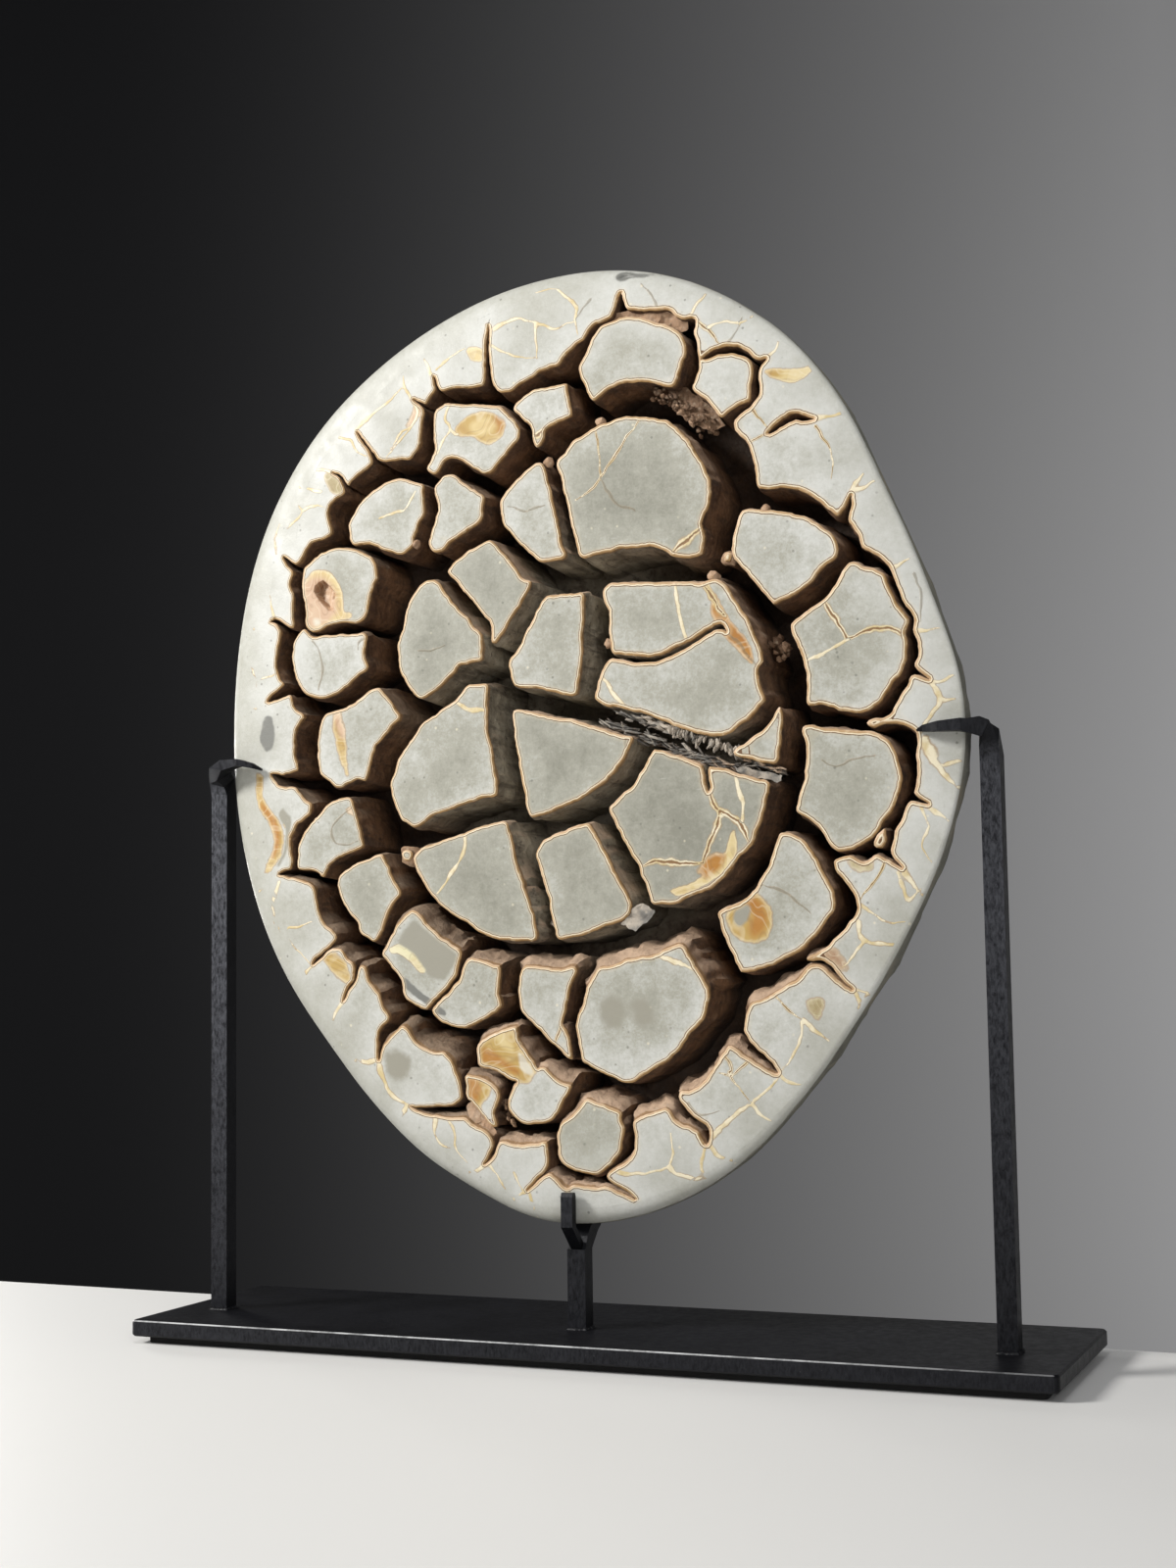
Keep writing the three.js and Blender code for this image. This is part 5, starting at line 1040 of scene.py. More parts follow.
class Shader:
    """Short ways to add and join the nodes of one material."""

    def __init__(self, name):
        self.material = bpy.data.materials.new(name)
        self.material.use_nodes = True
        self.nodes = self.material.node_tree.nodes
        self.links = self.material.node_tree.links
        self.bsdf = self.nodes["Principled BSDF"]
        self.place = self.nodes.new("ShaderNodeTexCoord").outputs["Object"]

    def put(self, socket, value):
        """Sets a socket to a value, or links another node's output to it."""
        if isinstance(value, bpy.types.NodeSocket):
            self.links.new(value, socket)
        elif isinstance(value, tuple) and socket.type == "RGBA":
            socket.default_value = (*value, 1.0)
        else:
            socket.default_value = value

    def node(self, kind, inputs=None, **settings):
        """A new node with its settings, and its inputs by name or number."""
        node = self.nodes.new("ShaderNode" + kind)
        for name, value in settings.items():
            setattr(node, name, value)
        for key, value in (inputs or {}).items():
            self.put(node.inputs[key], value)
        return node

    def attribute(self, name, output="Fac"):
        return self.node("Attribute", attribute_name=name).outputs[output]

    def along(self, axis):
        """A point's own coordinate along an axis, in metres."""
        return self.node("SeparateXYZ", {0: self.place}).outputs[axis]

    def facing(self, direction, low, high):
        """How much a surface faces a direction, from 0 to 1."""
        normal = self.node("NewGeometry").outputs["Normal"]
        dot = self.node("VectorMath", {0: normal, 1: direction}, operation="DOT_PRODUCT")
        return self.band(dot.outputs["Value"], low, high)

    def out_from_centre(self):
        """0 at the middle of the face and 1 at its rim."""
        spot = self.node("Mapping", {
            "Vector": self.place,
            "Location": (-CENTRE[0] / RADII[0], 0.0, -CENTRE[1] / RADII[1]),
            "Scale": (1 / RADII[0] / MM, 0.0, 1 / RADII[1] / MM),
        })
        away = self.node("VectorMath", {0: spot.outputs["Vector"]}, operation="LENGTH")
        return away.outputs["Value"]

    def stretched(self, scale, angle=0.0):
        """Coordinates squeezed along the axes, after a turn in the plane of the face, in degrees."""
        settings = {"Vector": self.place, "Scale": scale, "Rotation": (0.0, math.radians(angle), 0.0)}
        return self.node("Mapping", settings).outputs["Vector"]

    def noise(self, scale, detail=3.0, roughness=0.55, distortion=0.0, place=None):
        return self.node("TexNoise", {
            "Vector": place or self.place, "Scale": scale, "Detail": detail,
            "Roughness": roughness, "Distortion": distortion,
        }).outputs["Fac"]

    def voronoi(self, scale, feature="F1"):
        cells = self.node("TexVoronoi", {"Vector": self.place, "Scale": scale}, feature=feature)
        return cells.outputs["Distance"]

    def math(self, operation, *values, clamp=False):
        return self.node("Math", dict(enumerate(values)), operation=operation, use_clamp=clamp).outputs[0]

    def joined(self, operation, first, *others):
        for other in others:
            first = self.math(operation, first, other)
        return first

    def plus(self, *values):
        return self.joined("ADD", *values)

    def times(self, *values):
        return self.joined("MULTIPLY", *values)

    def band(self, value, low, high, start=0.0, end=1.0):
        """A value mapped smoothly from low..high to start..end."""
        ends = {"From Min": low, "From Max": high, "To Min": start, "To Max": end}
        return self.node("MapRange", {"Value": value, **ends}, interpolation_type="SMOOTHSTEP").outputs[0]

    def ragged(self, name, height, *clouds):
        """A painted value whose outlines a noise makes ragged."""
        return self.plus(self.attribute(name), self.band(self.noise(*clouds), 0.25, 0.75, -height, height))

    def mix(self, share, first, second, blend="MIX"):
        colours = {MIX_FACTOR: share, MIX_FIRST: first, MIX_SECOND: second}
        return self.node("Mix", colours, data_type="RGBA", blend_type=blend).outputs[MIX_RESULT]

    def over(self, under, colour, *shares, blend="MIX"):
        """A colour laid over another one, as much as the product of the shares says."""
        return self.mix(self.times(*shares), under, colour, blend)

    def ramp(self, value, stops):
        node = self.node("ValToRGB", {0: value})
        elements = node.color_ramp.elements
        while len(elements) < len(stops):
            elements.new(0.5)
        for element, (place, colour) in zip(elements, stops):
            element.position = place
            element.color = (*colour, 1.0)
        return node.outputs["Color"]

    def finish(self, colour, roughness, *bumps):
        """The material, with bumps of (height, strength, distance in metres) on top of each other."""
        normal = {}
        for height, strength, distance in bumps:
            relief = {"Height": height, "Strength": strength, "Distance": distance, **normal}
            normal = {"Normal": self.node("Bump", relief).outputs["Normal"]}
        for name, value in {"Base Color": colour, "Roughness": roughness, **normal}.items():
            self.put(self.bsdf.inputs[name], value)
        return self.material


# ------------------------------ the stone's materials

MATRIX_DARK = (0.215, 0.212, 0.172)
MATRIX_MID = (0.325, 0.320, 0.270)
MATRIX_PALE = (0.506, 0.508, 0.478)
MATRIX_SPECK = (0.10, 0.10, 0.08)
PATCH_SHADE = (0.76, 0.58, 0.40)
LINE_BROWN = (0.130, 0.062, 0.024)
LINE_CREAM = (0.640, 0.530, 0.360)
# The lining's peach, and the ochre that also serves as its painted shade.
LINE_PEACH = (0.530, 0.365, 0.225)
LINE_OCHRE = (0.340, 0.200, 0.075)
VEIN_CREAM = (0.720, 0.650, 0.480)
VEIN_YELLOW = (0.540, 0.430, 0.220)
VEIN_OUTLINE = (0.33, 0.22, 0.11)
VEIN_DARK = (0.200, 0.108, 0.042)
VEIN_HAIR = (0.150, 0.125, 0.075)
RIND_DARK = (0.125, 0.121, 0.098)
RIND_MID = (0.215, 0.208, 0.168)
RIND_WARM = (0.280, 0.245, 0.180)
RIND_NET = (0.34, 0.29, 0.20)
RIND_PALE = (0.24, 0.225, 0.18)
WALL_TOP = (0.240, 0.130, 0.046)
WALL_BROWN = (0.098, 0.045, 0.018)
WALL_BROWN_PALE = (0.200, 0.100, 0.044)
WALL_GREY = (0.270, 0.230, 0.165)
WALL_GREY_PALE = (0.440, 0.390, 0.295)
# Dark streaks and pits of the walls, which also serve as their painted shade in the depths.
WALL_STAIN_AND_DEPTH_SHADE = (0.042, 0.024, 0.014)
WALL_SHADE = (0.30, 0.28, 0.26)
WALL_CRYSTAL = (0.50, 0.40, 0.29)
# Colours of the upward slopes, which also carry painted light from above.
SLOPE_PINK = (0.255, 0.180, 0.120)
SLOPE_PALE = (0.500, 0.350, 0.240)
CRUST_TONES = [
    (0.00, (0.085, 0.045, 0.022)), (0.30, (0.400, 0.250, 0.150)), (0.50, (0.430, 0.320, 0.230)),
    (0.60, (0.060, 0.054, 0.048)), (0.80, (0.180, 0.168, 0.150)), (1.00, (0.440, 0.380, 0.310)),
]

# The mudstone's clouds, from large to fine: scale, detail, how far each lightens and darkens.
MATRIX_CLOUDS = ((22, 4, 0.13), (85, 5, 0.14), (300, 5, 0.11), (900, 4, 0.09))
# Scratches from the grinding: scale, stretch, angle, where they start, strength, colour.
SCRATCHES = (
    (90, (1.0, 1.0, 9.0), 52, 0.66, 0.22, MATRIX_PALE),
    (80, (8.0, 1.0, 1.0), 28, 0.64, 0.20, MATRIX_DARK),
)
# How far from a crack the lining's brown, cream and peach bands begin, and how soft their edges are.
LINING_STARTS = (1.80, 1.44, 0.96)
LINING_SOFT = 0.06
# How near a number of the mesh has to be to a kind of vein to count as that kind.
KIND_MARGIN = 0.2


def matrix_colour(s, edge):
    """The grey-green mudstone: cloudy, darker in the middle of each block and of the whole face."""
    out = s.out_from_centre()
    calm = s.band(out, 0.72, 0.92, 1.0, 0.45)
    clouds = [s.times(s.band(s.noise(scale, detail, 0.66), 0.28, 0.72, -height, height), calm)
              for scale, detail, height in MATRIX_CLOUDS]
    block = s.math("MULTIPLY_ADD", s.attribute("tone"), 0.26, -0.13)
    lightness = s.plus(s.band(edge, 0.0, 22.0, 0.16, -0.12), s.band(out, 0.34, 1.00, -0.08, 0.36),
                       *clouds, block)
    lightness = s.math("ADD", lightness, 0.46, clamp=True)
    matrix = s.ramp(lightness, [(0.0, MATRIX_DARK), (0.5, MATRIX_MID), (1.0, MATRIX_PALE)])
    # Dark specks and pale chips, both in swarms.
    specks = s.times(s.band(s.voronoi(150), 0.07, 0.14, 0.55, 0.0), s.band(s.noise(45, 2), 0.47, 0.58))
    matrix = s.over(matrix, MATRIX_SPECK, specks)
    chips = s.band(s.voronoi(118), 0.05, 0.12, 0.5, 0.0)
    matrix = s.over(matrix, VEIN_CREAM, chips, s.band(s.noise(38, 2, 0.5, 0.4), 0.50, 0.60))
    for scale, stretch, angle, start, strength, colour in SCRATCHES:
        lines = s.noise(scale, 3, 0.6, 0.3, s.stretched(stretch, angle))
        matrix = s.over(matrix, colour, s.band(lines, start, 0.74, 0.0, strength))
    return matrix


def with_patches(s, surface):
    """Amber, peach and grey calcite: the coloured ones banded inside, with a brown line round them."""
    patch = s.ragged("patch", 0.45, 170, 4, 0.65)
    own = s.attribute("patch_colour", "Color")
    red, _, blue = s.node("SeparateColor", {0: own}).outputs[:]
    coloured = s.band(s.math("SUBTRACT", red, blue), 0.06, 0.16)
    bands = s.noise(45, 3, 0.5, 1.0)
    rings = s.math("PINGPONG", s.noise(26, 2, 0.5, 0.8), 0.040)
    lit = s.over(own, VEIN_CREAM, s.band(bands, 0.50, 0.70, 0.0, 0.22), coloured)
    lit = s.over(lit, PATCH_SHADE, s.band(bands, 0.50, 0.32, 0.0, 0.40), coloured, blend="MULTIPLY")
    for colour, share in ((VEIN_DARK, s.band(rings, 0.010, 0.002, 0.0, 0.25)),
                          (VEIN_CREAM, s.band(rings, 0.030, 0.038, 0.0, 0.25)),
                          (VEIN_CREAM, s.band(patch, 1.6, 0.4, 0.0, 0.30))):
        lit = s.over(lit, colour, share, coloured)
    # The grey ones fade into the stone.
    low = s.band(coloured, 0.0, 1.0, -0.80, -0.18)
    high = s.band(coloured, 0.0, 1.0, 1.00, 0.22)
    surface = s.over(surface, lit, s.band(patch, low, high))
    rim = s.times(s.band(patch, -0.75, -0.35), s.band(patch, 0.15, -0.1), 0.5)
    return s.over(surface, LINE_OCHRE, rim, coloured)


def with_veins(s, surface, vein, seam):
    """Calcite veins outlined in brown; some have a dark seam along the middle."""
    faint = s.math("COMPARE", s.attribute("vein_kind"), FAINT, KIND_MARGIN)
    strength = s.math("MULTIPLY_ADD", faint, -0.5, 1.0)
    outline = s.times(s.band(vein, 1.75, 1.15), s.band(vein, 0.7, 1.05, 0.2, 1.0))
    broken = s.band(s.noise(60, 3), 0.35, 0.6, 0.25, 0.8)
    surface = s.over(surface, VEIN_OUTLINE, outline, broken, strength)
    filling = s.mix(s.band(s.noise(130, 3), 0.38, 0.68), VEIN_CREAM, VEIN_YELLOW)
    filling = s.mix(faint, filling, VEIN_HAIR)
    surface = s.over(surface, filling, s.band(vein, 1.2, 0.8), strength)
    return s.over(surface, VEIN_DARK, s.band(vein, 0.55, 0.25), seam)


def with_lining(s, surface, edge):
    """The cracks' calcite lining in section: brown line, cream, then peach to the edge, painted ochre as
    shade where the edge faces right and down.
    """
    surface = s.over(surface, LINE_CREAM, s.band(edge, 3.6, 1.8, 0.0, 0.22))
    cream = s.mix(s.band(s.noise(90, 3), 0.35, 0.65), LINE_CREAM, VEIN_CREAM)
    # Painted shade: the peach band turns ochre where the edge faces right and down, away from the light.
    outer = s.mix(s.facing((0.75, 0.0, -0.65), -0.15, 0.25), LINE_PEACH, LINE_OCHRE)
    outer = s.over(outer, LINE_OCHRE, s.band(s.noise(45, 4, 0.6), 0.42, 0.62, 0.0, 0.6))
    outer = s.over(outer, LINE_CREAM, s.band(s.noise(260, 3), 0.52, 0.68, 0.0, 0.35))
    for start, colour in zip(LINING_STARTS, (LINE_BROWN, cream, outer)):
        surface = s.over(surface, colour, s.band(edge, start + LINING_SOFT, start - LINING_SOFT))
    return surface


def rind_colour(s):
    """The natural outside: dark olive grey, stained, with a net of pale hairlines."""
    weathered = s.ramp(s.noise(30, 6, 0.65), [(0.30, RIND_DARK), (0.52, RIND_MID), (0.68, RIND_WARM)])
    net = s.band(s.voronoi(34, "DISTANCE_TO_EDGE"), 0.0, 0.03, 0.35, 0.0)
    weathered = s.over(weathered, RIND_NET, net, s.band(s.noise(18, 3), 0.45, 0.6))
    return s.over(weathered, RIND_PALE, s.band(s.noise(260, 4, 0.65), 0.48, 0.75, 0.0, 0.4))


def cut_face_material():
    """The ground and polished cut, and the rind round it."""
    s = Shader("septarian_cut_face")
    rind, edge = s.attribute("rind"), s.attribute("edge")
    ragged = s.plus(s.band(s.noise(260, 4, 0.6), 0.25, 0.75, -0.16, 0.16),
                    s.band(s.noise(50, 3), 0.3, 0.7, -0.22, 0.22))
    edge = s.plus(edge, s.times(ragged, s.band(edge, 0.0, 1.2)))
    # The lining is thicker on the right.
    edge = s.times(edge, s.band(s.along("X"), -0.16, 0.10, 1.08, 0.80))
    vein = s.ragged("vein", 0.20, 330, 3, 0.6)
    seam = s.math("COMPARE", s.attribute("vein_kind"), SEAM, KIND_MARGIN)
    surface = with_patches(s, matrix_colour(s, edge))
    surface = with_lining(s, with_veins(s, surface, vein, seam), edge)
    surface = s.mix(rind, surface, rind_colour(s))
    polish = s.band(s.noise(150, 4, 0.6), 0.3, 0.7, 0.44, 0.60)
    roughness = s.node("Mix", {"Factor": rind, "A": polish, "B": 0.92}).outputs[0]
    grit = s.plus(s.noise(480, 4, 0.6), s.times(s.noise(1300, 2), 0.6))
    veins = s.math("SUBTRACT", s.times(s.band(vein, 1.4, 0.6), 0.5),
                   s.times(s.band(vein, 0.6, 0.2), seam, 0.9))
    lines = s.math("SUBTRACT", s.band(edge, 1.8, 1.5), s.band(edge, 1.1, 0.8))
    coarse = s.plus(s.noise(110, 7, 0.68), s.times(s.noise(30, 4), 1.6))
    return s.finish(surface, roughness, (grit, 0.16, 0.0006), (s.noise(60, 4, 0.6), 0.10, 0.0012),
                    (veins, 0.55, 0.0005), (lines, 0.45, 0.0004), (s.times(coarse, rind), 0.9, 0.0030))


def crack_wall_material():
    """The crystal-lined walls: brown in the outer cracks, grey in the middle, dark in the depths with
    painted shade, and with painted light on the upward slopes.
    """
    s = Shader("septarian_crack_wall")
    centre = s.band(s.out_from_centre(), 0.54, 0.36)
    depth = s.ragged("depth", 1.2, 60, 5, 0.65)
    low = s.ragged("low", 0.15, 45, 5, 0.65)
    cloud = s.noise(75, 7, 0.72)
    share = s.band(cloud, 0.38, 0.62)
    brown, grey = s.mix(share, WALL_BROWN, WALL_BROWN_PALE), s.mix(share, WALL_GREY, WALL_GREY_PALE)
    colour = s.mix(centre, brown, grey)
    streaks = s.noise(190, 5, 0.65, 0.4, s.stretched((1.0, 0.14, 1.0)))
    colour = s.over(colour, WALL_STAIN_AND_DEPTH_SHADE, s.band(streaks, 0.50, 0.36, 0.0, 0.55))
    # The slopes that face upwards are painted pinker and paler: pinkish grains, and painted light from
    # above.
    slope = s.times(s.facing((0.0, 0.0, 1.0), 0.20, 0.70), s.band(cloud, 0.3, 0.6, 0.5, 1.0),
                    s.band(depth, 26.0, 6.0))
    grains_and_light = s.mix(s.band(s.along("X"), -0.085, -0.030), SLOPE_PINK, SLOPE_PALE)
    colour = s.over(colour, grains_and_light, slope)
    pits = s.band(s.noise(210, 5, 0.7), 0.42, 0.30, 0.0, 0.75)
    colour = s.over(colour, WALL_STAIN_AND_DEPTH_SHADE, pits, s.band(slope, 0.0, 0.6, 1.0, 0.45))
    # Painted shade: the tops of the steep walls are darkened to be as dark as their depths.
    steep = s.times(s.band(depth, 16.0, 2.0, 0.0, 0.55), s.band(slope, 0.3, 0.0))
    colour = s.over(colour, WALL_SHADE, steep, blend="MULTIPLY")
    crystals = s.band(s.noise(150, 5, 0.7, 0.5), 0.58, 0.72, 0.0, 0.55)
    colour = s.over(colour, WALL_CRYSTAL, crystals, s.band(slope, 0.0, 0.6, 0.25, 1.0),
                    s.band(low, 0.8, 0.4))
    # Painted shade: the floors and the lowest walls are darkened, less in the middle of the face.
    reach = s.band(centre, 0.0, 1.0, 1.0, 0.45)
    colour = s.over(colour, WALL_STAIN_AND_DEPTH_SHADE, s.band(low, 0.62, 1.0), reach)
    colour = s.over(colour, WALL_TOP, s.band(depth, 2.2, 1.5, 0.0, 0.75))
    cells = s.voronoi(420)
    colour = s.over(colour, SLOPE_PINK, s.band(cells, 0.0, 0.5, 0.07, 0.0), s.band(low, 0.9, 0.5))
    return s.finish(colour, s.band(cells, 0.0, 0.6, 0.66, 0.86), (streaks, 0.55, 0.0020),
                    (s.noise(95, 8, 0.72), 0.75, 0.0030), (s.voronoi(210), 0.45, 0.0016),
                    (cells, 0.30, 0.0006))


def crust_material():
    """Lumps and small crystals in the cracks, from caramel (tone 0) to grey-white (tone 1), with painted
    shade deeper down.
    """
    s = Shader("septarian_crust")
    uneven = s.band(s.noise(85, 5, 0.65), 0.3, 0.7, -0.12, 0.12)
    tone = s.math("ADD", s.attribute("tone"), uneven, clamp=True)
    # Painted shade: the deeper a crystal lies, the more it takes the walls' dark brown.
    colour = s.over(s.ramp(tone, CRUST_TONES), WALL_BROWN, s.band(s.attribute("depth"), 3.0, 16.0))
    glints = s.voronoi(380)
    colour = s.over(colour, LINE_CREAM, s.band(glints, 0.0, 0.45, 0.22, 0.0))
    return s.finish(colour, s.band(glints, 0.0, 0.6, 0.42, 0.75), (s.noise(190, 7, 0.7), 0.8, 0.0018),
                    (glints, 0.5, 0.0008))


# ------------------------------ the stand's materials

COAT_DARK = (0.0030, 0.0031, 0.0040)
COAT_MID = (0.0070, 0.0072, 0.0090)
COAT_PAINTED_SHEEN = (0.095, 0.098, 0.112)
COAT_DUST = (0.22, 0.21, 0.19)
ARRIS_HIGHLIGHT = (0.480, 0.485, 0.490)
WORN_DARK = (0.010, 0.0105, 0.012)
WORN_PALE = (0.050, 0.050, 0.052)
FELT_DARK = (0.006, 0.006, 0.006)
FELT_PALE = (0.022, 0.021, 0.020)
COAT_IOR, COAT_SHEEN = 1.3, 0.25
# The directions that the bars' fronts and the plate's front arris face.
FRONT, FRONT_ARRIS = (0.0, -1.0, 0.0), (0.0, -0.707, 0.707)


def steel_material():
    """Satin black powder coat with a fine grain, a few dust specks on it, painted sheen on the bars' fronts
    and a painted highlight along the plate's front arris.
    """
    s = Shader("stand_powder_coat")
    colour = s.mix(s.band(s.noise(24, 5, 0.6), 0.3, 0.7), COAT_DARK, COAT_MID)
    # Painted sheen: cloudy light on the bars' fronts, less towards the plate, on the prongs and to the
    # right.
    sheen_clouds = s.noise(700, 7, 0.75, 0.3, s.stretched((1.0, 1.0, 0.35)))
    x, y, z = s.along("X"), s.along("Y"), s.along("Z")
    colour = s.over(colour, COAT_PAINTED_SHEEN, s.band(sheen_clouds, 0.30, 0.66), s.facing(FRONT, 0.6, 0.95),
                    s.band(z, 0.012, 0.300, 0.12, 0.53), s.band(z, 0.300, 0.308, 1.0, 0.30),
                    s.band(x, 0.150, -0.200, 1.0, 1.75))
    # Painted highlight: a bright metal-grey line along the plate's front arris, most in the middle.
    low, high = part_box("base_plate")
    colour = s.over(colour, ARRIS_HIGHLIGHT, s.facing(FRONT_ARRIS, 0.92, 0.97),
                    s.band(y, low.y + 1.4 * MM, low.y + 1.1 * MM),
                    s.band(z, high.z - 0.75 * MM, high.z - 0.45 * MM),
                    s.band(s.noise(70, 6, 0.7), 0.34, 0.58, 0.40, 1.0),
                    s.band(x, 0.235, 0.080, 0.25, 1.0))
    dust = s.band(s.voronoi(330), 0.030, 0.075, 0.30, 0.0)
    colour = s.over(colour, COAT_DUST, dust, s.band(s.noise(40, 2), 0.52, 0.62))
    s.put(s.bsdf.inputs["IOR"], COAT_IOR)
    s.put(s.bsdf.inputs["Specular IOR Level"], COAT_SHEEN)
    return s.finish(colour, s.band(s.noise(210, 5, 0.65), 0.3, 0.7, 0.36, 0.46),
                    (s.noise(1500, 3, 0.6), 0.30, 0.00025), (s.noise(420, 3), 0.15, 0.0003))


def worn_highlit_edge_material():
    """The coat rubbed thin along the edges, a duller grey that is partly painted highlight along them."""
    s = Shader("stand_worn_highlit_edge")
    wear_and_highlight = s.noise(120, 5, 0.7)
    colour = s.mix(s.band(wear_and_highlight, 0.42, 0.62), WORN_DARK, WORN_PALE)
    return s.finish(colour, s.band(wear_and_highlight, 0.3, 0.7, 0.46, 0.30), (s.noise(900, 3), 0.2, 0.0003))


def felt_material():
    """Black felt of the pad."""
    s = Shader("pad_felt")
    fibres = s.noise(900, 4, 0.7, place=s.stretched((1.0, 1.0, 3.0)))
    colour = s.mix(fibres, FELT_DARK, FELT_PALE)
    return s.finish(colour, s.band(fibres, 0.2, 0.8, 0.88, 1.0), (fibres, 0.7, 0.0008))


# ------------------------------ the stand

# How wide the worn edge of each steel piece is, painted paler as worn coat and painted highlight, and
# what angle counts as an edge, in degrees.
EDGE_WIDTHS = {"base_plate": 0.2, "left_upright": 0.7, "right_upright": 0.7, "centre_post": 0.7,
               "cradle": 0.8}
EDGE_ANGLE = 25

# The bars' half width. A bead of weld round a bar: its size, how far it runs into the bar and the plate,
# how many sections it has, and the size of the smallest section and what is added at random.
BAR_HALF = 5.0
WELD_SIZE = 1.5
WELD_IN_BAR, WELD_IN_PLATE = 0.6, 0.1
WELD_SECTIONS = 48
WELD_LEAST, WELD_MORE = 0.7, 0.5


def coat(piece, *materials):
    """Gives a piece these materials in place of any it has."""
    if piece.data.materials:
        piece.data.materials.clear()
    for material in materials:
        piece.data.materials.append(material)


def dress_stand(steel):
    """Gives the stand's own solids rounded edges and their coats."""
    worn_highlit = worn_highlit_edge_material()
    for name, width in EDGE_WIDTHS.items():
        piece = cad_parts[name]
        coat(piece, steel, worn_highlit)
        bevel = piece.modifiers.new("edges", "BEVEL")
        bevel.width = width * MM
        bevel.segments = 2
        bevel.limit_method = "ANGLE"
        bevel.angle_limit = math.radians(EDGE_ANGLE)
        bevel.material = 1
    coat(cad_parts["base_pad"], felt_material())


def make_weld(name, x, y, z, seed):
    """A small bead of weld round the foot of a bar, ground back and coated."""
    rng = random.Random(seed)
    points, faces = [], []
    for i in range(WELD_SECTIONS):
        angle = 2 * math.pi * i / WELD_SECTIONS
        cx, cy = math.cos(angle), math.sin(angle)
        edge = BAR_HALF / max(abs(cx), abs(cy))
        size = WELD_SIZE * (WELD_LEAST + WELD_MORE * rng.random())
        section = ((-WELD_IN_BAR, size), (0.15 * size, 0.9 * size), (0.7 * size, 0.55 * size),
                   (size, -WELD_IN_PLATE))
        for k, (out, up) in enumerate(section):
            points.append(((x + cx * (edge + out)) * MM, (y + cy * (edge + out)) * MM, (z + up) * MM))
            if k > 0:
                a, b = len(points) - 2, (i + 1) % WELD_SECTIONS * len(section) + k - 1
                faces.append((a, a + 1, b + 1, b))
    mesh = mesh_of(name, points, faces)
    mesh.shade_smooth()
    return link(name, mesh)


def make_welds(steel):
    plate_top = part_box("base_plate")[1].z / MM
    for i, name in enumerate(("left_upright", "right_upright", "centre_post")):
        corners = [v.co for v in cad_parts[name].data.vertices if v.co.z / MM < plate_top + 0.1]
        middle = sum(corners, Vector()) / len(corners) / MM
        bead = make_weld(name + "_weld", middle.x, middle.y, plate_top, SEED + i)
        coat(bead, steel)
        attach(bead, "root")


# ------------------------------ floor, light and camera, in metres

# Shades of the studio's surfaces, with painted light graded across them: on the left, high on the right
# and low on the right.
FLOOR_SHADES = ((0.65, 0.645, 0.627), (0.71, 0.705, 0.692), (0.71, 0.705, 0.692))
WALL_SHADES = ((0.0080, 0.0080, 0.0098), (0.395, 0.395, 0.403), (0.630, 0.630, 0.640))
# The shades change between these heights, and along X over this width, by this power.
SHADE_TOP, SHADE_BOTTOM = 1.9, -0.4
SHADE_WIDTH, SHADE_POWER = 2.2, 2.35
# The floor: to the sides, to the front, and its slanting back edge on the left and the right.
FLOOR_SIDE, FLOOR_FRONT, FLOOR_BACK_LEFT, FLOOR_BACK_RIGHT = 1.6, -4.0, 0.148, 0.030
FLOOR_THICK = 0.022
WALL_SIDE, WALL_AWAY, WALL_LOW, WALL_HIGH = 5.0, 2.4, -2.5, 4.5

# Round lamps: place, what they point at, diameter, power in watts, colour.
MIDDLE = (0.0, 0.0, 0.3)
LAMPS = {
    "key": ((-1.36, -1.05, 1.22), MIDDLE, 0.55, 47, (1.0, 0.985, 0.955)),
    "fill": ((1.5, -2.0, 0.9), MIDDLE, 1.4, 20, (0.99, 0.99, 1.0)),
    "top": ((0.1, -0.9, 2.3), MIDDLE, 0.9, 12, (1.0, 1.0, 1.0)),
    "back": ((-1.35, 0.7, 0.35), (0.0, -0.3, 0.3), 0.4, 8, (1.0, 0.99, 0.97)),
}
SKY_COLOUR, SKY_STRENGTH = (0.80, 0.82, 0.85, 1.0), 0.12

# The camera: its place in mm, its turn to the left, up and round its own axis in degrees, and its lens
# in mm.
CAMERA_AT = (438.45, -1048.58, 197.11)
CAMERA_YAW, CAMERA_PITCH, CAMERA_ROLL = 22.8906, 5.0351, -0.8267
LENS, SENSOR = 48.81, 36.0


def staged(name, points, faces, shades, roughness):
    """A smooth surface of the studio, with painted light graded across it."""
    s = Shader(name)
    left, high, low = shades
    right = s.mix(s.band(s.along("Z"), SHADE_TOP, SHADE_BOTTOM), high, low)
    across = s.math("MULTIPLY_ADD", s.along("X"), 1 / SHADE_WIDTH, 1.0, clamp=True)
    colour = s.mix(s.math("POWER", across, SHADE_POWER), left, right)
    surface = link(name, mesh_of(name, points, faces))
    coat(surface, s.finish(colour, roughness, (s.noise(240, 3), 0.05, 0.0005)))


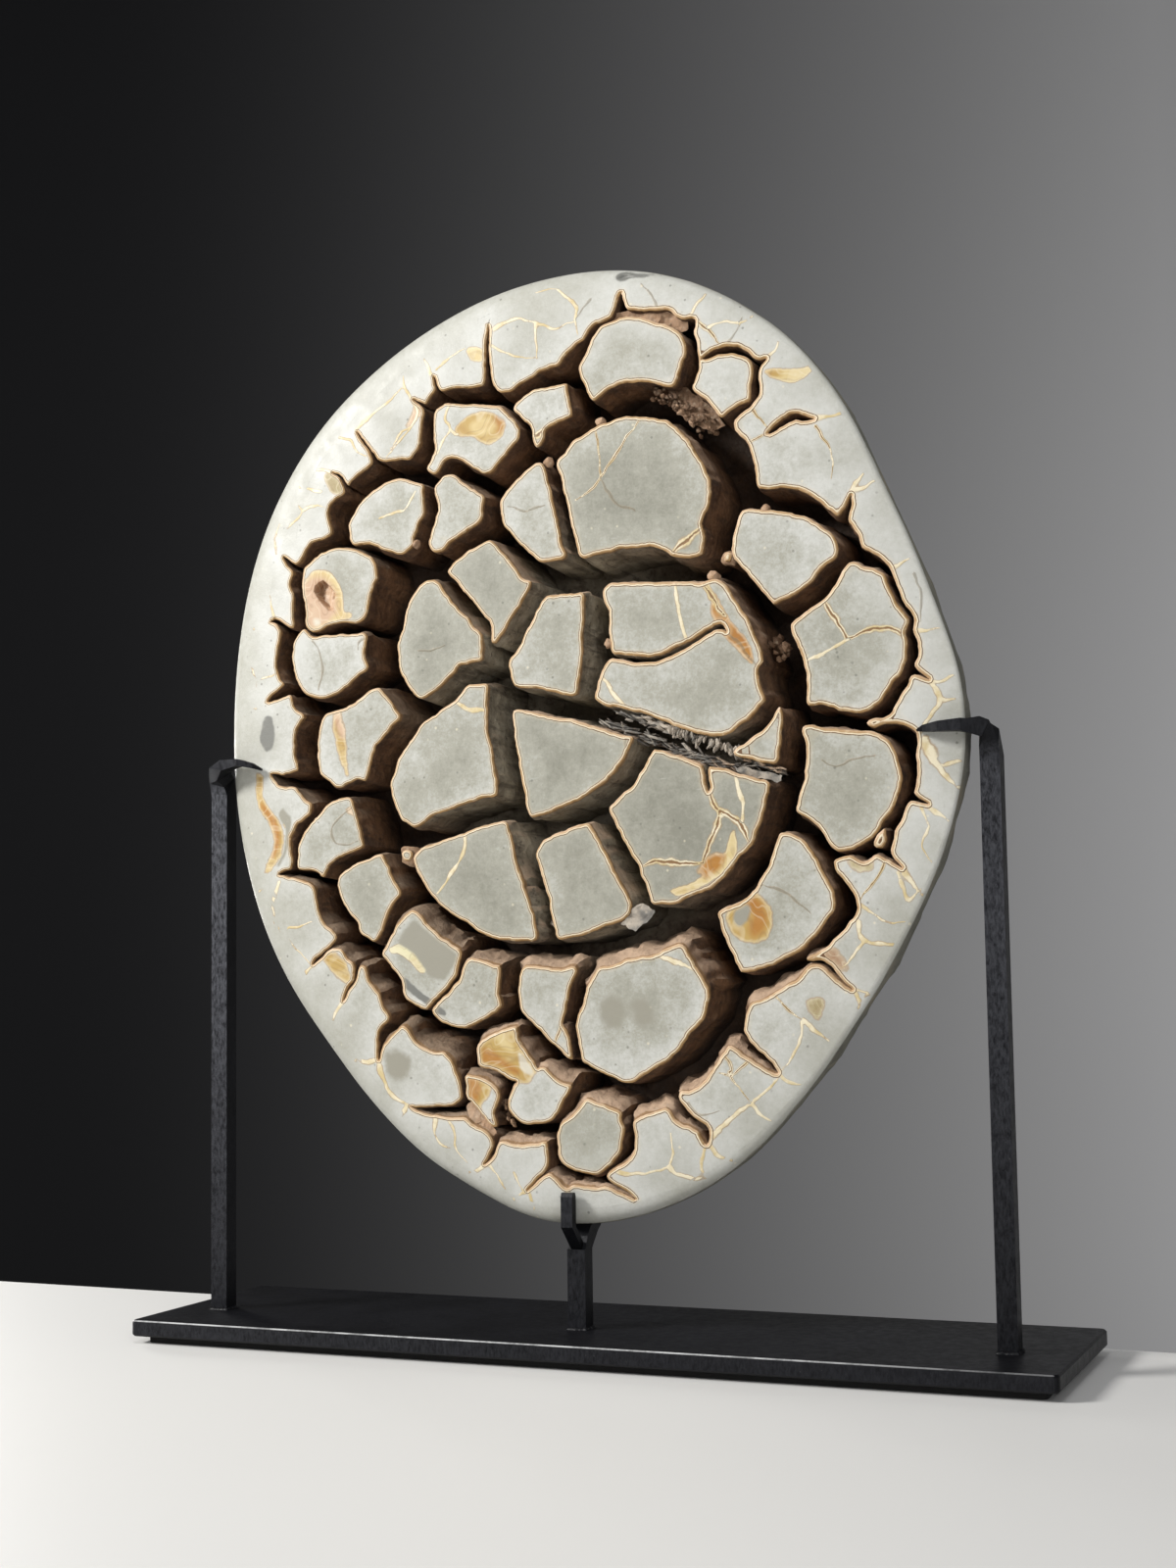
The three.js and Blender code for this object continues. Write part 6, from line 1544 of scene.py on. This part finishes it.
def make_stage():
    """A pale floor that ends close behind the stand, and a grey wall far behind it, both with painted
    light: the wall dark on the left and paler to the right and lower down.
    """
    floor = [(x, y, z) for z in (0.0, -FLOOR_THICK)
             for x, y in ((-FLOOR_SIDE, FLOOR_FRONT), (FLOOR_SIDE, FLOOR_FRONT),
                          (FLOOR_SIDE, FLOOR_BACK_RIGHT), (-FLOOR_SIDE, FLOOR_BACK_LEFT))]
    sides = [(i, i + 4, (i + 1) % 4 + 4, (i + 1) % 4) for i in range(4)]
    staged("studio_floor", floor, [(0, 1, 2, 3), (7, 6, 5, 4), *sides], FLOOR_SHADES, 0.5)
    wall = [(x, WALL_AWAY, z) for x, z in ((-WALL_SIDE, WALL_LOW), (WALL_SIDE, WALL_LOW),
                                          (WALL_SIDE, WALL_HIGH), (-WALL_SIDE, WALL_HIGH))]
    staged("studio_wall", wall, [(0, 3, 2, 1)], WALL_SHADES, 0.8)


def light_scene():
    """Soft daylight from the upper left front, a weak fill, and a lamp for the stone's back."""
    for name, (at, aim, size, power, colour) in LAMPS.items():
        data = bpy.data.lights.new(name, "AREA")
        data.shape, data.size, data.energy, data.color = "DISK", size, power, colour
        lamp = link(name, data)
        lamp.location = at
        lamp.rotation_euler = (Vector(aim) - Vector(at)).to_track_quat("-Z", "Y").to_euler()
    world = bpy.data.worlds.new("studio")
    bpy.context.scene.world = world
    world.use_nodes = True
    background = world.node_tree.nodes["Background"]
    background.inputs["Color"].default_value = SKY_COLOUR
    background.inputs["Strength"].default_value = SKY_STRENGTH


def place_camera():
    """A long lens a little right of the stone, at the height of its lower third."""
    yaw, pitch, roll = (math.radians(a) for a in (CAMERA_YAW, CAMERA_PITCH, CAMERA_ROLL))
    ahead = Vector((-math.sin(yaw) * math.cos(pitch), math.cos(yaw) * math.cos(pitch), math.sin(pitch)))
    level = Vector((math.cos(yaw), math.sin(yaw), 0.0))
    upright = level.cross(ahead)
    right = level * math.cos(roll) + upright * math.sin(roll)
    up = upright * math.cos(roll) - level * math.sin(roll)
    data = bpy.data.cameras.new("camera")
    data.sensor_width = SENSOR
    data.lens = LENS
    camera = link("camera", data)
    turn = Matrix((right, up, -ahead)).transposed().to_4x4()
    camera.matrix_world = Matrix.Translation(Vector(CAMERA_AT) * MM) @ turn
    bpy.context.scene.camera = camera


# ------------------------------ putting it together

nodule = make_stone()
coat(nodule, cut_face_material(), crack_wall_material(), crust_material())
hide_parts("stone")
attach(nodule, "root")
print("nodule triangles:", sum(len(p.vertices) - 2 for p in nodule.data.polygons))

coat_of_stand = steel_material()
dress_stand(coat_of_stand)
make_welds(coat_of_stand)
make_stage()
light_scene()
place_camera()
bpy.context.scene.view_settings.view_transform = "Standard"
